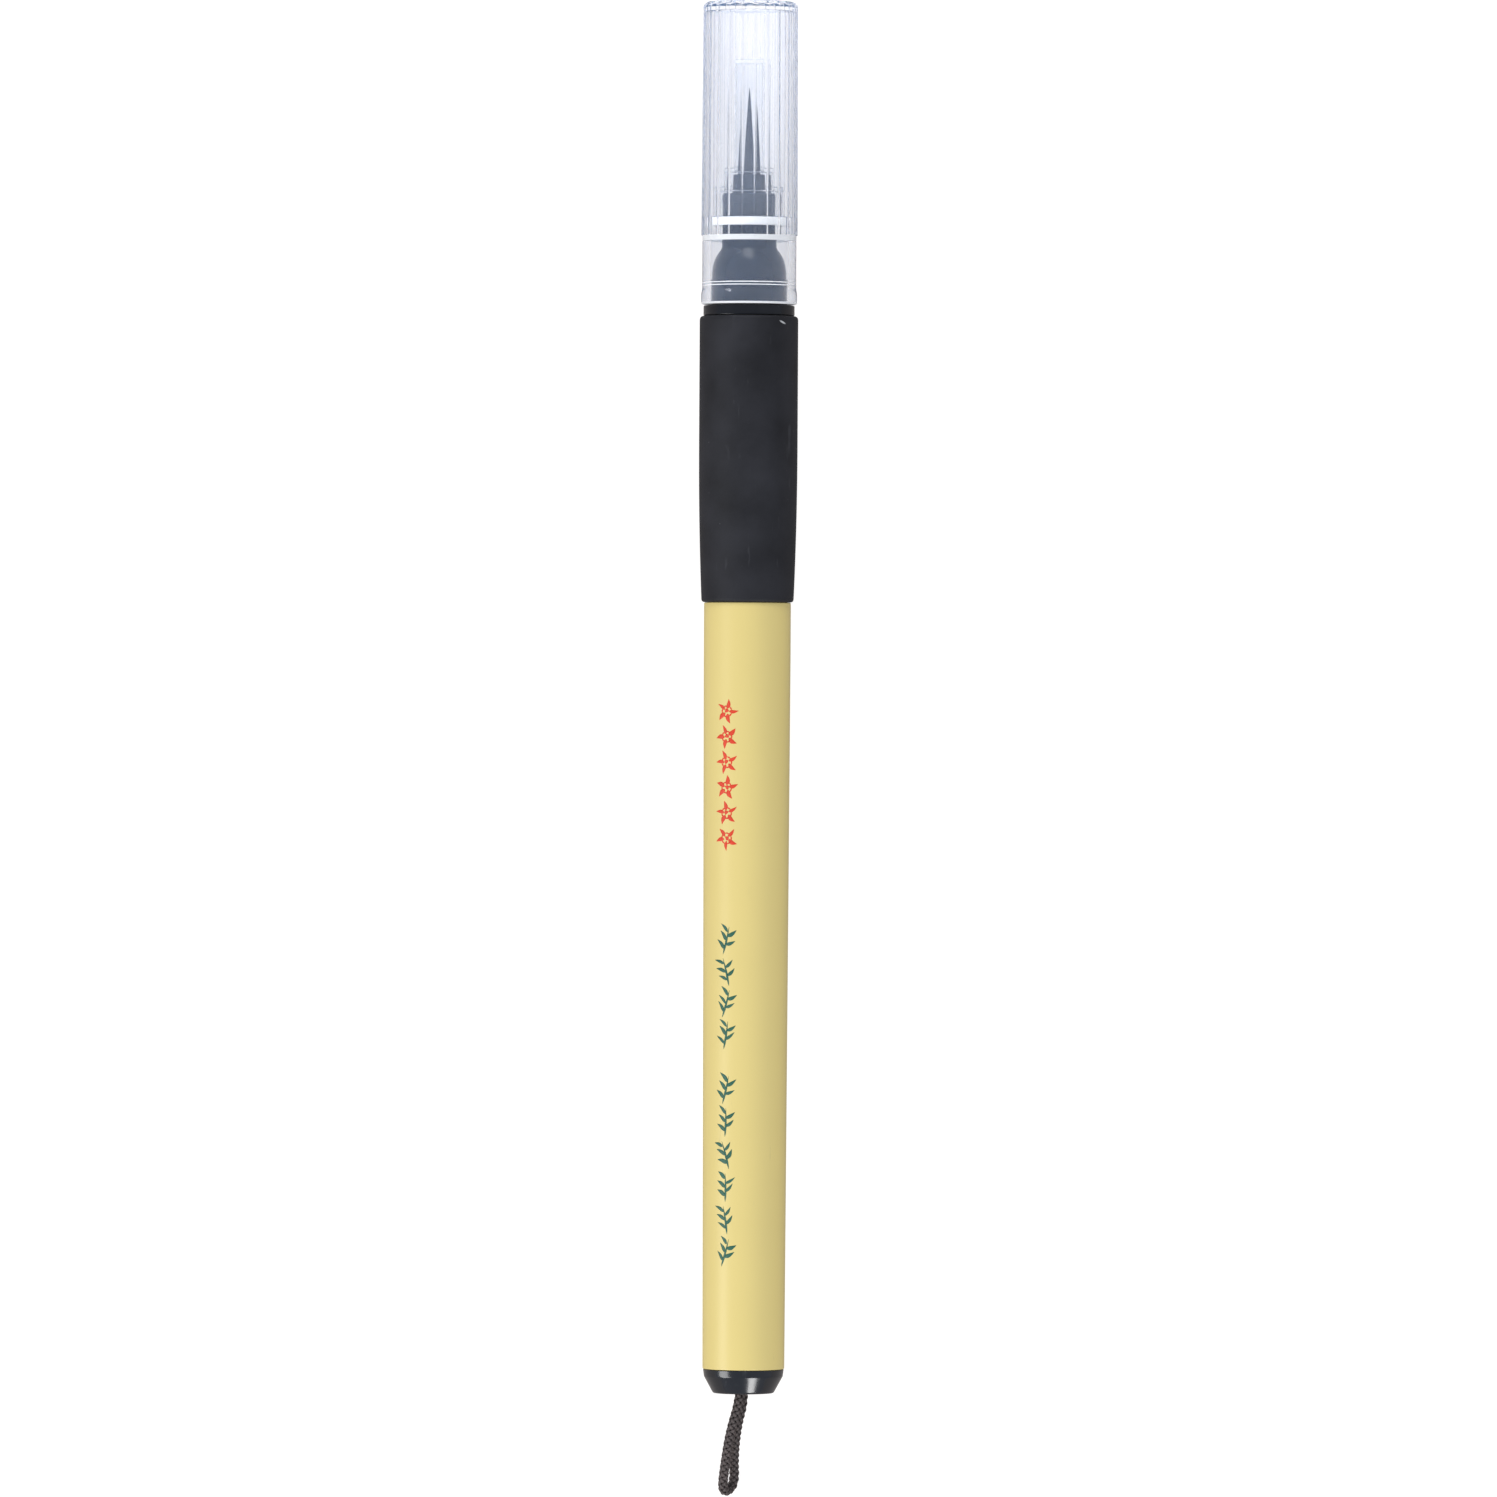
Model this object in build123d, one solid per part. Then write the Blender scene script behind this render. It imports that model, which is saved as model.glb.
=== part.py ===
from build123d import *
import math
import os

# Capped brush pen with a rubber grip and a short hanging loop, as separate turned and moulded pieces.
#
# Frame: the pen lies on a desk along Y, with its cap towards +Y and the desk at Z = 0. The origin is on the
# desk under the middle of the pen. Every turned piece is drawn by its stations, which are millimetres from
# the flat end of the tail plug towards the cap, and by its radii.

# Driving dimensions, in millimetres
PEN_LENGTH = 168.0
GRIP_RADIUS = 5.95
BARREL_RADIUS_FRONT = 5.24
BARREL_RADIUS_TAIL = 4.94
CAP_RADIUS = 5.68
CORD_DIAMETER = 1.15

# Gaps between pieces
FIT = 0.02  # between two pieces pressed or glued together
GUIDE = 0.08  # between the cap and what it slides over
FACE = 0.05  # between two faces that butt together

# Stations along the pen
PLUG_RIM_AT = 2.05
BARREL_TAIL_AT = 2.95
BARREL_LAND_AT = 88.0
GRIP_TAIL_AT = 95.5
GRIP_FRONT_AT = 130.1
FLANGE_FRONT_AT = 131.3
CAP_MOUTH_AT = 131.45
SEAT_FRONT_AT = 134.4
NECK_TAIL_AT = 138.3
SKIRT_FRONT_AT = 139.7
CUP_LIP_AT = 140.95
COLLAR_TAIL_AT = 143.7
COLLAR_FRONT_AT = 144.8
FERRULE_FRONT_AT = 147.1
TUFT_TIP_AT = 157.6
CUP_END_AT = 161.0

# Radii that two or more pieces share
BARREL_NECK_RADIUS = 4.62
BARREL_BORE = 3.9
SOCKET_BORE = 3.74  # narrower front of the barrel's bore, which takes the nose
FLANGE_RADIUS = 5.5
SEAT_RADIUS = 4.61
NECK_RADIUS = 3.3
COLLAR_RADIUS = 3.38
FERRULE_RADIUS = 2.36
FERRULE_NOSE_RADIUS = 2.17
TUFT_RADIUS = 1.25
BINDING_RADIUS = 1.7
FEED_RADIUS = 0.75
WADDING_RADIUS = 3.55
FILM_THICKNESS = 0.12
PLUG_FACE_RADIUS = 3.65
CORD_HOLE_RADIUS = 1.36
CAP_BORE = SEAT_RADIUS + 0.14

# Inside lengths
SOCKET_TAIL_AT = 112.5
NOSE_TAIL_AT = 117.0
WADDING_TAIL_AT = 22.0
FEED_TAIL_AT = 103.0
ROOT_TAIL_AT = 139.6
FERRULE_TAIL_AT = 137.0
HOLDER_FLANGE_AT = 135.9
PLUG_WALL = 2.1

# Cap flutes
FLUTE_COUNT = 22
FLUTE_DEPTH = 0.14
FLUTE_RADIUS = 3.9
FLUTE_PHASE = 5.0  # degrees from the top of the pen to its nearest ridge

AXIS_HEIGHT = GRIP_RADIUS


def placed(shape):
    """Moves a shape from the pen's own axis to where the pen lies on the desk."""
    return Pos(0, -PEN_LENGTH / 2, AXIS_HEIGHT) * shape


def turned_wire(wire):
    """Solid turned about the Y axis from closed edges drawn as (radius, station)."""
    return revolve(make_face(wire), Axis.Y)


def turned(*corners):
    """Solid turned about the Y axis from (station, radius) corners."""
    return turned_wire(Polyline(*[(radius, station) for station, radius in corners], close=True))


def tube(tail_at, front_at, outer, inner=0.0):
    """Plain turned tube or rod between two stations."""
    return turned((tail_at, inner), (tail_at, outer), (front_at, outer), (front_at, inner))


def barrel_tube():
    """Straight-drafted tube with a parallel land behind the grip and a thin neck that carries the grip."""
    outside = turned(
        (BARREL_TAIL_AT, 0),
        (BARREL_TAIL_AT, BARREL_RADIUS_TAIL),
        (BARREL_LAND_AT, BARREL_RADIUS_FRONT),
        (GRIP_TAIL_AT - FACE, BARREL_RADIUS_FRONT),
        (GRIP_TAIL_AT - FACE, BARREL_NECK_RADIUS),
        (GRIP_FRONT_AT - FACE, BARREL_NECK_RADIUS),
        (GRIP_FRONT_AT - FACE, 0),
    )
    bore = tube(BARREL_TAIL_AT, SOCKET_TAIL_AT, BARREL_BORE)
    socket = tube(SOCKET_TAIL_AT, GRIP_FRONT_AT, SOCKET_BORE)
    return outside - bore - socket


def grip_sleeve():
    """Rubber sleeve, parallel towards the front and falling away in one long arc towards the tail."""
    swell_at = 114.0
    tail_radius = 5.56
    edge = 0.3
    inner = BARREL_NECK_RADIUS + FIT
    back = (tail_radius, GRIP_TAIL_AT)
    swell = (GRIP_RADIUS, swell_at)
    front = (GRIP_RADIUS, GRIP_FRONT_AT - FACE)
    outline = [
        Line((inner, GRIP_TAIL_AT), back),
        TangentArc(swell, back, tangent=(0, -1)),
        Line(swell, front),
        Line(front, (inner, front[1])),
        Line((inner, front[1]), (inner, GRIP_TAIL_AT)),
    ]
    sleeve = turned_wire(outline)
    rims = sleeve.edges().filter_by(GeomType.CIRCLE).filter_by(lambda rim: rim.radius > tail_radius - FIT)
    ends = [rim for rim in rims if abs(rim.center().Y - swell_at) > 1.0]
    return fillet(ends, edge)


def nose_section():
    """Front section: socket spigot, stop flange, cap seat with a snap bead, dome and sealing neck."""
    bead_height = 0.05
    bead_tail = SEAT_FRONT_AT - 0.5
    dome_tail_radius = 4.5
    shoulder_radius = NECK_RADIUS + 0.2
    holder_bore = 1.52
    spigot = SOCKET_BORE - FIT
    points = [
        (0, NOSE_TAIL_AT),
        (spigot, NOSE_TAIL_AT),
        (spigot, GRIP_FRONT_AT),
        (FLANGE_RADIUS, GRIP_FRONT_AT),
        (FLANGE_RADIUS, FLANGE_FRONT_AT),
        (SEAT_RADIUS, FLANGE_FRONT_AT),
        (SEAT_RADIUS, bead_tail),
        (SEAT_RADIUS + bead_height, bead_tail),
        (SEAT_RADIUS + bead_height, SEAT_FRONT_AT),
        (dome_tail_radius, SEAT_FRONT_AT),
    ]
    shoulder = (shoulder_radius, NECK_TAIL_AT - 0.35)
    dome = ThreePointArc(points[-1], (dome_tail_radius - 0.2, SEAT_FRONT_AT + 1.95), shoulder)
    neck = [
        shoulder,
        (NECK_RADIUS, NECK_TAIL_AT),
        (NECK_RADIUS, COLLAR_TAIL_AT - FACE),
        (0, COLLAR_TAIL_AT - FACE),
        points[0],
    ]
    body = turned_wire([Polyline(*points), dome, Polyline(*neck)])
    ferrule_bore = tube(HOLDER_FLANGE_AT, COLLAR_FRONT_AT, FERRULE_RADIUS + FIT)
    feed_bore = tube(NOSE_TAIL_AT, HOLDER_FLANGE_AT, holder_bore)
    return body - ferrule_bore - feed_bore


def tip_collar():
    """Ring on the ferrule in front of the nose, with a chamfered front edge."""
    chamfer_size = 0.25
    inner = FERRULE_RADIUS + FIT
    return turned(
        (COLLAR_TAIL_AT, inner),
        (COLLAR_TAIL_AT, COLLAR_RADIUS),
        (COLLAR_FRONT_AT - chamfer_size, COLLAR_RADIUS),
        (COLLAR_FRONT_AT, COLLAR_RADIUS - chamfer_size),
        (COLLAR_FRONT_AT, inner),
    )


def tuft_ferrule():
    """Tube that holds the tuft: a tight front bore, and a wider back one for the bound root."""
    root_front_at = ROOT_TAIL_AT + 2.4
    tuft_bore = TUFT_RADIUS + FIT
    root_bore = BINDING_RADIUS + FIT
    return turned(
        (FERRULE_TAIL_AT, root_bore),
        (FERRULE_TAIL_AT, FERRULE_RADIUS),
        (COLLAR_FRONT_AT, FERRULE_RADIUS),
        (FERRULE_FRONT_AT, FERRULE_NOSE_RADIUS),
        (FERRULE_FRONT_AT, tuft_bore),
        (root_front_at, tuft_bore),
        (root_front_at, root_bore),
    )


def bristle_tuft():
    """Outer shape of the bristles: straight in the ferrule, then slightly full and drawn to a point."""
    root = (0, ROOT_TAIL_AT)
    mouth = (TUFT_RADIUS, FERRULE_FRONT_AT)
    belly = (TUFT_RADIUS * 0.62, (FERRULE_FRONT_AT + TUFT_TIP_AT) / 2)
    tip_radius = 0.06
    tip = (tip_radius, TUFT_TIP_AT)
    outline = [
        Polyline(root, (TUFT_RADIUS, ROOT_TAIL_AT), mouth),
        ThreePointArc(mouth, belly, tip),
        Polyline(tip, (0, TUFT_TIP_AT), root),
    ]
    return turned_wire(outline)


def root_binding():
    """Thread whipping around the root of the bristles, which keeps them from pulling through the ferrule."""
    whipping_length = 2.2
    turn_count = 6
    turn = whipping_length / turn_count
    inner = TUFT_RADIUS + FIT
    groove_radius = BINDING_RADIUS - 0.1
    corners = [(ROOT_TAIL_AT, inner)]
    for index in range(turn_count):
        start = ROOT_TAIL_AT + index * turn
        corners += [(start, groove_radius), (start + turn / 2, BINDING_RADIUS)]
    corners += [(ROOT_TAIL_AT + whipping_length, groove_radius), (ROOT_TAIL_AT + whipping_length, inner)]
    return turned(*corners)


def feed_rod():
    """Fibre rod that carries ink from the wadding to the root of the tuft."""
    return tube(FEED_TAIL_AT, ROOT_TAIL_AT - FACE, FEED_RADIUS)


def feed_holder():
    """Sleeve that centres the feed rod, clamps the tuft's root and lets air back past four grooves."""
    front_radius = BINDING_RADIUS - FIT
    tail_radius = 1.5
    groove_width = 0.3
    groove_depth = 0.35
    body = turned(
        (NOSE_TAIL_AT - 1.0, FEED_RADIUS + FIT),
        (NOSE_TAIL_AT - 1.0, tail_radius),
        (HOLDER_FLANGE_AT + FACE, tail_radius),
        (HOLDER_FLANGE_AT + FACE, FERRULE_RADIUS),
        (FERRULE_TAIL_AT - FACE, FERRULE_RADIUS),
        (FERRULE_TAIL_AT - FACE, front_radius),
        (ROOT_TAIL_AT - FACE, front_radius),
        (ROOT_TAIL_AT - FACE, FEED_RADIUS + FIT),
    )
    length = ROOT_TAIL_AT - NOSE_TAIL_AT + 2.0
    middle = (ROOT_TAIL_AT + NOSE_TAIL_AT) / 2
    for index in range(4):
        groove = Pos(tail_radius, middle, 0) * Box(2 * groove_depth, length, groove_width)
        body -= Rot(0, 90 * index, 0) * groove
    return body


def ink_wadding():
    """Fibre reservoir with the socket that the feed rod is pushed into."""
    body = tube(WADDING_TAIL_AT, SOCKET_TAIL_AT - FACE, WADDING_RADIUS)
    return body - tube(FEED_TAIL_AT - FACE, SOCKET_TAIL_AT, FEED_RADIUS + FIT)


def wadding_film():
    """Clear film rolled round the wadding."""
    inner = WADDING_RADIUS + FIT
    return tube(WADDING_TAIL_AT, SOCKET_TAIL_AT - FACE, inner + FILM_THICKNESS, inner)


def tail_plug():
    """Hollow tail plug: chamfered end with a flared cord hole, and a long spigot that stops the wadding."""
    rim_tail_radius = 4.76
    rim_radius = BARREL_RADIUS_TAIL - 0.06  # a hair inside the barrel, so that the pen lies on its barrel
    spigot = BARREL_BORE - FIT
    hollow = 2.9
    flare_radius = 2.35
    flare_depth = 1.15
    lead_in = 0.3
    body = turned(
        (0, 0),
        (0, PLUG_FACE_RADIUS),
        (PLUG_RIM_AT, rim_tail_radius),
        (BARREL_TAIL_AT - FACE, rim_radius),
        (BARREL_TAIL_AT - FACE, spigot),
        (WADDING_TAIL_AT - FACE - lead_in, spigot),
        (WADDING_TAIL_AT - FACE, spigot - lead_in),
        (WADDING_TAIL_AT - FACE, 0),
    )
    room = tube(PLUG_WALL, WADDING_TAIL_AT, hollow)
    hole = turned(
        (0, 0),
        (0, flare_radius),
        (flare_depth, CORD_HOLE_RADIUS),
        (PLUG_WALL, CORD_HOLE_RADIUS),
        (PLUG_WALL, 0),
    )
    return body - room - hole


def cap_flute(tail, front):
    """Long cylinder that cuts one flute between two (station, ridge radius) points, at the top of the cap."""
    (tail_at, tail_radius), (front_at, front_radius) = tail, front
    middle = (tail_at + front_at) / 2
    height = (tail_radius + front_radius) / 2 - FLUTE_DEPTH + FLUTE_RADIUS
    draft = math.degrees(math.atan2(tail_radius - front_radius, front_at - tail_at))
    cutter = Cylinder(FLUTE_RADIUS, 1.5 * (front_at - tail_at))
    room_length = PEN_LENGTH + front_at - tail_at
    room = Pos(0, middle + PEN_LENGTH / 2, height) * Box(PEN_LENGTH, room_length, PEN_LENGTH)
    return (Pos(0, middle, height) * Rot(-90 - draft, 0, 0) * cutter) & room


def cap_shell():
    """Clear outer shell: closed fluted end, plain skirt with a rolled mouth, ledge for the inner cup."""
    end_wall = 1.1
    end_edge = 0.45
    mouth_radius = CAP_RADIUS + 0.12
    mouth_length = 1.3
    upper_bore = CAP_BORE - 0.35
    shoulder = (SKIRT_FRONT_AT, CAP_RADIUS + 0.14)
    closed_end = (PEN_LENGTH, CAP_RADIUS - 0.045)
    body = turned(
        (CAP_MOUTH_AT, 0),
        (CAP_MOUTH_AT, mouth_radius),
        (CAP_MOUTH_AT + mouth_length, mouth_radius),
        (CAP_MOUTH_AT + mouth_length + 0.5, CAP_RADIUS),
        (SKIRT_FRONT_AT, CAP_RADIUS),
        shoulder,
        (PEN_LENGTH - end_edge, closed_end[1]),
        (PEN_LENGTH, closed_end[1] - end_edge),
        (PEN_LENGTH, 0),
    )
    flute = cap_flute(shoulder, closed_end)
    half_step = 180 / FLUTE_COUNT
    for index in range(FLUTE_COUNT):
        body -= Rot(0, FLUTE_PHASE + half_step * (2 * index + 1), 0) * flute
    bore = tube(CAP_MOUTH_AT, CUP_LIP_AT + 1.0, CAP_BORE)
    upper = tube(CUP_LIP_AT + 1.0, PEN_LENGTH - end_wall, upper_bore)
    return body - bore - upper


def cap_inner_cup():
    """Stepped cup that seals the tip: a flange held in the shell, a wide foot and a narrow closed tube."""
    flange_thickness = 0.95
    flange_radius = CAP_BORE - FIT
    wall = 0.5
    foot_bore = COLLAR_RADIUS + GUIDE
    ferrule_bore = FERRULE_RADIUS + GUIDE
    tube_bore = 1.6
    foot_front_at = COLLAR_FRONT_AT + 0.3
    step_front_at = FERRULE_FRONT_AT + 0.3
    end_edge = 0.5
    outside = turned(
        (CUP_LIP_AT, 0),
        (CUP_LIP_AT, flange_radius),
        (CUP_LIP_AT + flange_thickness, flange_radius),
        (CUP_LIP_AT + flange_thickness, foot_bore + wall),
        (foot_front_at + wall, foot_bore + wall),
        (foot_front_at + wall, ferrule_bore + wall),
        (step_front_at + wall, ferrule_bore + wall),
        (step_front_at + wall, tube_bore + wall),
        (CUP_END_AT - end_edge, tube_bore + wall),
        (CUP_END_AT, tube_bore + wall - end_edge),
        (CUP_END_AT, 0),
    )
    inside = turned(
        (CUP_LIP_AT, 0),
        (CUP_LIP_AT, foot_bore),
        (foot_front_at, foot_bore),
        (foot_front_at, ferrule_bore),
        (step_front_at, ferrule_bore),
        (step_front_at, tube_bore),
        (CUP_END_AT - wall - end_edge, tube_bore),
        (CUP_END_AT - wall, tube_bore - end_edge),
        (CUP_END_AT - wall, 0),
    )
    return outside - inside


# The hanging cord's route, from the knot inside the plug along the lower strand, round the fold on the desk
# and back along the upper strand to the knot
CORD_ROUTE = [
    (-0.1, -81.3, 5.3),
    (0.0, -84.7, 5.2),
    (-0.5, -87.9, 4.1),
    (-0.9, -91.8, 1.85),
    (-0.9, -95.2, 0.25),
    (-2.4, -96.05, 2.2),
    (-2.1, -92.7, 3.7),
    (-1.2, -88.6, 5.6),
    (-0.4, -84.7, 6.5),
    (-0.1, -81.3, 6.6),
]
LOOP_START_Y = -84.05  # the loop's own solid starts at the mouth of the cord hole


def bend_radii(points):
    """Radius of each corner's arc: 0.45 of its shorter run, divided by the tangent of half the turn."""
    radii = []
    for before, corner, after in zip(points, points[1:], points[2:]):
        run_in = Vector(*corner) - Vector(*before)
        run_out = Vector(*after) - Vector(*corner)
        half_turn = math.radians(run_in.get_angle(run_out)) / 2
        radii.append(0.45 * min(run_in.length, run_out.length) / math.tan(half_turn))
    return radii


def whole_cord():
    """The cord as one tube along straight runs joined by tangent arcs."""
    radii = bend_radii(CORD_ROUTE)
    print("cord bend radii", [round(radius, 2) for radius in radii])
    route = FilletPolyline(*CORD_ROUTE, radius=radii)
    start = Plane(origin=route @ 0, z_dir=route % 0)
    cord = sweep(start * Circle(CORD_DIAMETER / 2), path=route)
    section = math.pi * CORD_DIAMETER**2 / 4
    print("cord length", round(route.length, 2))
    print("cord volume over section times length", round(cord.volume / section / route.length, 4))
    return cord


def hang_loop(cord):
    """The part of the cord outside the plug."""
    room = 40.0
    outside = Pos(0, LOOP_START_Y - room / 2, 0) * Box(room, room, room)
    return cord & outside


def cord_knot(cord):
    """The knot inside the plug, with the two short strands that lead from it into the cord hole."""
    knot_radius = 1.75
    stub_end_y = -82.6
    knot_middle_y = -PEN_LENGTH / 2 + PLUG_WALL + knot_radius + FACE
    knot = Pos(0, knot_middle_y, AXIS_HEIGHT) * Sphere(knot_radius)
    depth = 4.0
    inside = Pos(0, stub_end_y + depth / 2, AXIS_HEIGHT) * Box(depth, depth, depth)
    return knot + (cord & inside)


def export_all():
    """Writes one STEP file for each piece."""
    os.makedirs("parts", exist_ok=True)
    turned_pieces = [
        barrel_tube,
        grip_sleeve,
        nose_section,
        tip_collar,
        tuft_ferrule,
        bristle_tuft,
        root_binding,
        feed_rod,
        feed_holder,
        ink_wadding,
        wadding_film,
        tail_plug,
        cap_shell,
        cap_inner_cup,
    ]
    for make in turned_pieces:
        export_step(placed(make()), f"parts/{make.__name__}.step")
    cord = whole_cord()
    for make in (hang_loop, cord_knot):
        export_step(make(cord), f"parts/{make.__name__}.step")


export_all()
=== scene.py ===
import math
import random

import bpy
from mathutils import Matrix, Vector


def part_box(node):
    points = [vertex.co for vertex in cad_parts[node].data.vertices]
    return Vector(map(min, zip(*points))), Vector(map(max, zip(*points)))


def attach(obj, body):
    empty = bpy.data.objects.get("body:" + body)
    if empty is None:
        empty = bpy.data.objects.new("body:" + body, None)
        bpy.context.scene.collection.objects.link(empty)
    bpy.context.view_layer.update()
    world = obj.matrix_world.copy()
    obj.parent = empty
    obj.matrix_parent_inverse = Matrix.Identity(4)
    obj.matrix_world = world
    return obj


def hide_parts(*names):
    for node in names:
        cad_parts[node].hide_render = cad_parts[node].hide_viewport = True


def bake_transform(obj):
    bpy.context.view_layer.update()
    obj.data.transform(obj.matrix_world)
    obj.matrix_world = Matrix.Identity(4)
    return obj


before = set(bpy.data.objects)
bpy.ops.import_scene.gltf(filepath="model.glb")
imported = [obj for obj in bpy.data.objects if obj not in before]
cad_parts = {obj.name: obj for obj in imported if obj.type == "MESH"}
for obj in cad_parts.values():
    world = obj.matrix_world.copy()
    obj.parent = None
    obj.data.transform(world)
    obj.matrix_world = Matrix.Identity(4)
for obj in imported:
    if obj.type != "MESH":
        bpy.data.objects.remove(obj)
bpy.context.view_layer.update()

bl_info = {
    "name": "Capped brush pen",
    "version": (1, 0, 0),
    "blender": (4, 5, 0),
    "location": "3D View > Sidebar > Brush Pen",
    "description": "Makes the finished surfaces of a capped brush pen around its packed frame",
    "category": "Add Mesh",
}

MM = 0.001
TAIL_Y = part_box("tail_plug")[0].y
AXIS_HEIGHT = (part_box("grip_sleeve")[0].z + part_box("grip_sleeve")[1].z) / 2


def ends(node):
    """First and last station of a frame node, in millimetres from the tail plug's flat end."""
    low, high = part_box(node)
    return (low.y - TAIL_Y) / MM, (high.y - TAIL_Y) / MM


def outer_radius(node):
    """Largest radius of a turned frame node, in millimetres."""
    low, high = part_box(node)
    return (high.z - low.z) / 2 / MM


# The hanging cord's route from the knot round the fold and back, close to the frame's own, in metres
CORD_ROUTE = [
    (-0.0001, -0.0813, 0.0053),
    (0.00015, -0.0847, 0.0052),
    (-0.0007, -0.0879, 0.0041),
    (-0.00112, -0.0918, 0.00185),
    (-0.00097, -0.0956, 0.00028),
    (-0.00256, -0.09645, 0.0022),
    (-0.00215, -0.0927, 0.0037),
    (-0.0015, -0.0886, 0.0056),
    (-0.00035, -0.0847, 0.0065),
    (-0.0001, -0.0813, 0.0066),
]
CORD_DIAMETER = 0.00115
KNOT_CORD_DIAMETER = 0.0008


def count_property(name, description, default, fewest):
    """A whole number that the panel shows."""
    return bpy.props.IntProperty(name=name, description=description, default=default, min=fewest)


def length_property(name, description, default):
    """A small length that the panel shows, in metres."""
    return bpy.props.FloatProperty(
        name=name, description=description, default=default, unit="LENGTH", precision=6
    )


def colour_property(name, description, default):
    """A colour that the panel shows."""
    return bpy.props.FloatVectorProperty(
        name=name, description=description, default=default, size=3, min=0, max=1, subtype="COLOR"
    )


class BrushPenSizes(bpy.types.PropertyGroup):
    """Sizes that change how the pen is finished, without changing what fits what."""

    steps_round: count_property("Steps Round", "Faces round each turned piece", 192, 48)
    flute_count: count_property("Flutes", "Flutes round the cap", 22, 8)
    flute_depth: length_property("Flute Depth", "Depth of each flute", 0.00007)
    flute_radius: length_property("Flute Radius", "Radius of each hollow", 0.009)
    rib_height: length_property("Rib Height", "Height of the rib between flutes", 0.0001)
    flute_turn: bpy.props.FloatProperty(
        name="First Ridge", description="Turn from the top to a ridge",
        default=math.radians(6.4), subtype="ANGLE",
    )
    hair_count: count_property("Hairs", "Hairs in the tuft", 620, 50)
    hair_radius: length_property("Hair Radius", "Radius of a hair at its root", 0.00005)
    yarn_count: count_property("Yarns", "Yarns of the braid each way round", 4, 3)
    braid_pitch: length_property("Braid Pitch", "Length of one turn of a yarn", 0.0032)
    mark_size: length_property("Mark Size", "Width of a printed ornament", 0.003)


class BrushPenColours(bpy.types.PropertyGroup):
    """Colours of the pen's pieces."""

    barrel: colour_property("Barrel", "Pale yellow-beige of the barrel", (0.825, 0.66, 0.24))
    rubber: colour_property("Grip", "Charcoal of the rubber sleeve", (0.0215, 0.0215, 0.0255))
    black: colour_property("Black Parts", "Black of the nose and the plug", (0.009, 0.01, 0.0135))
    clear: colour_property("Cap", "Faint tint of the clear cap", (0.996, 0.998, 1.0))
    milky: colour_property("Inner Cup", "Faint tint of the milky cup", (0.994, 0.997, 1.0))
    haze: colour_property("Haze", "Blue bloom on the clear plastic", (0.26, 0.5, 1.0))
    hair: colour_property("Hair", "Ink-black of the bristles", (0.02, 0.021, 0.026))
    cord: colour_property("Cord", "Dark brown of the braid", (0.047, 0.035, 0.032))
    fibre: colour_property("Fibre", "Undyed fibre inside the barrel", (0.55, 0.55, 0.52))
    upper_marks: colour_property("Upper Marks", "Red of the upper ornaments", (0.78, 0.05, 0.012))
    lower_marks: colour_property("Lower Marks", "Green of the lower ornaments", (0.02, 0.12, 0.075))


def sizes():
    """The sizes that the panel shows."""
    return bpy.context.scene.brush_pen_sizes


def colours():
    """The colours that the panel shows."""
    return bpy.context.scene.brush_pen_colours


# ---- Node trees ----

FLOAT = "NodeSocketFloat"
WHOLE = "NodeSocketInt"
COLOUR = "NodeSocketColor"
GEOMETRY = "NodeSocketGeometry"


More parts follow.
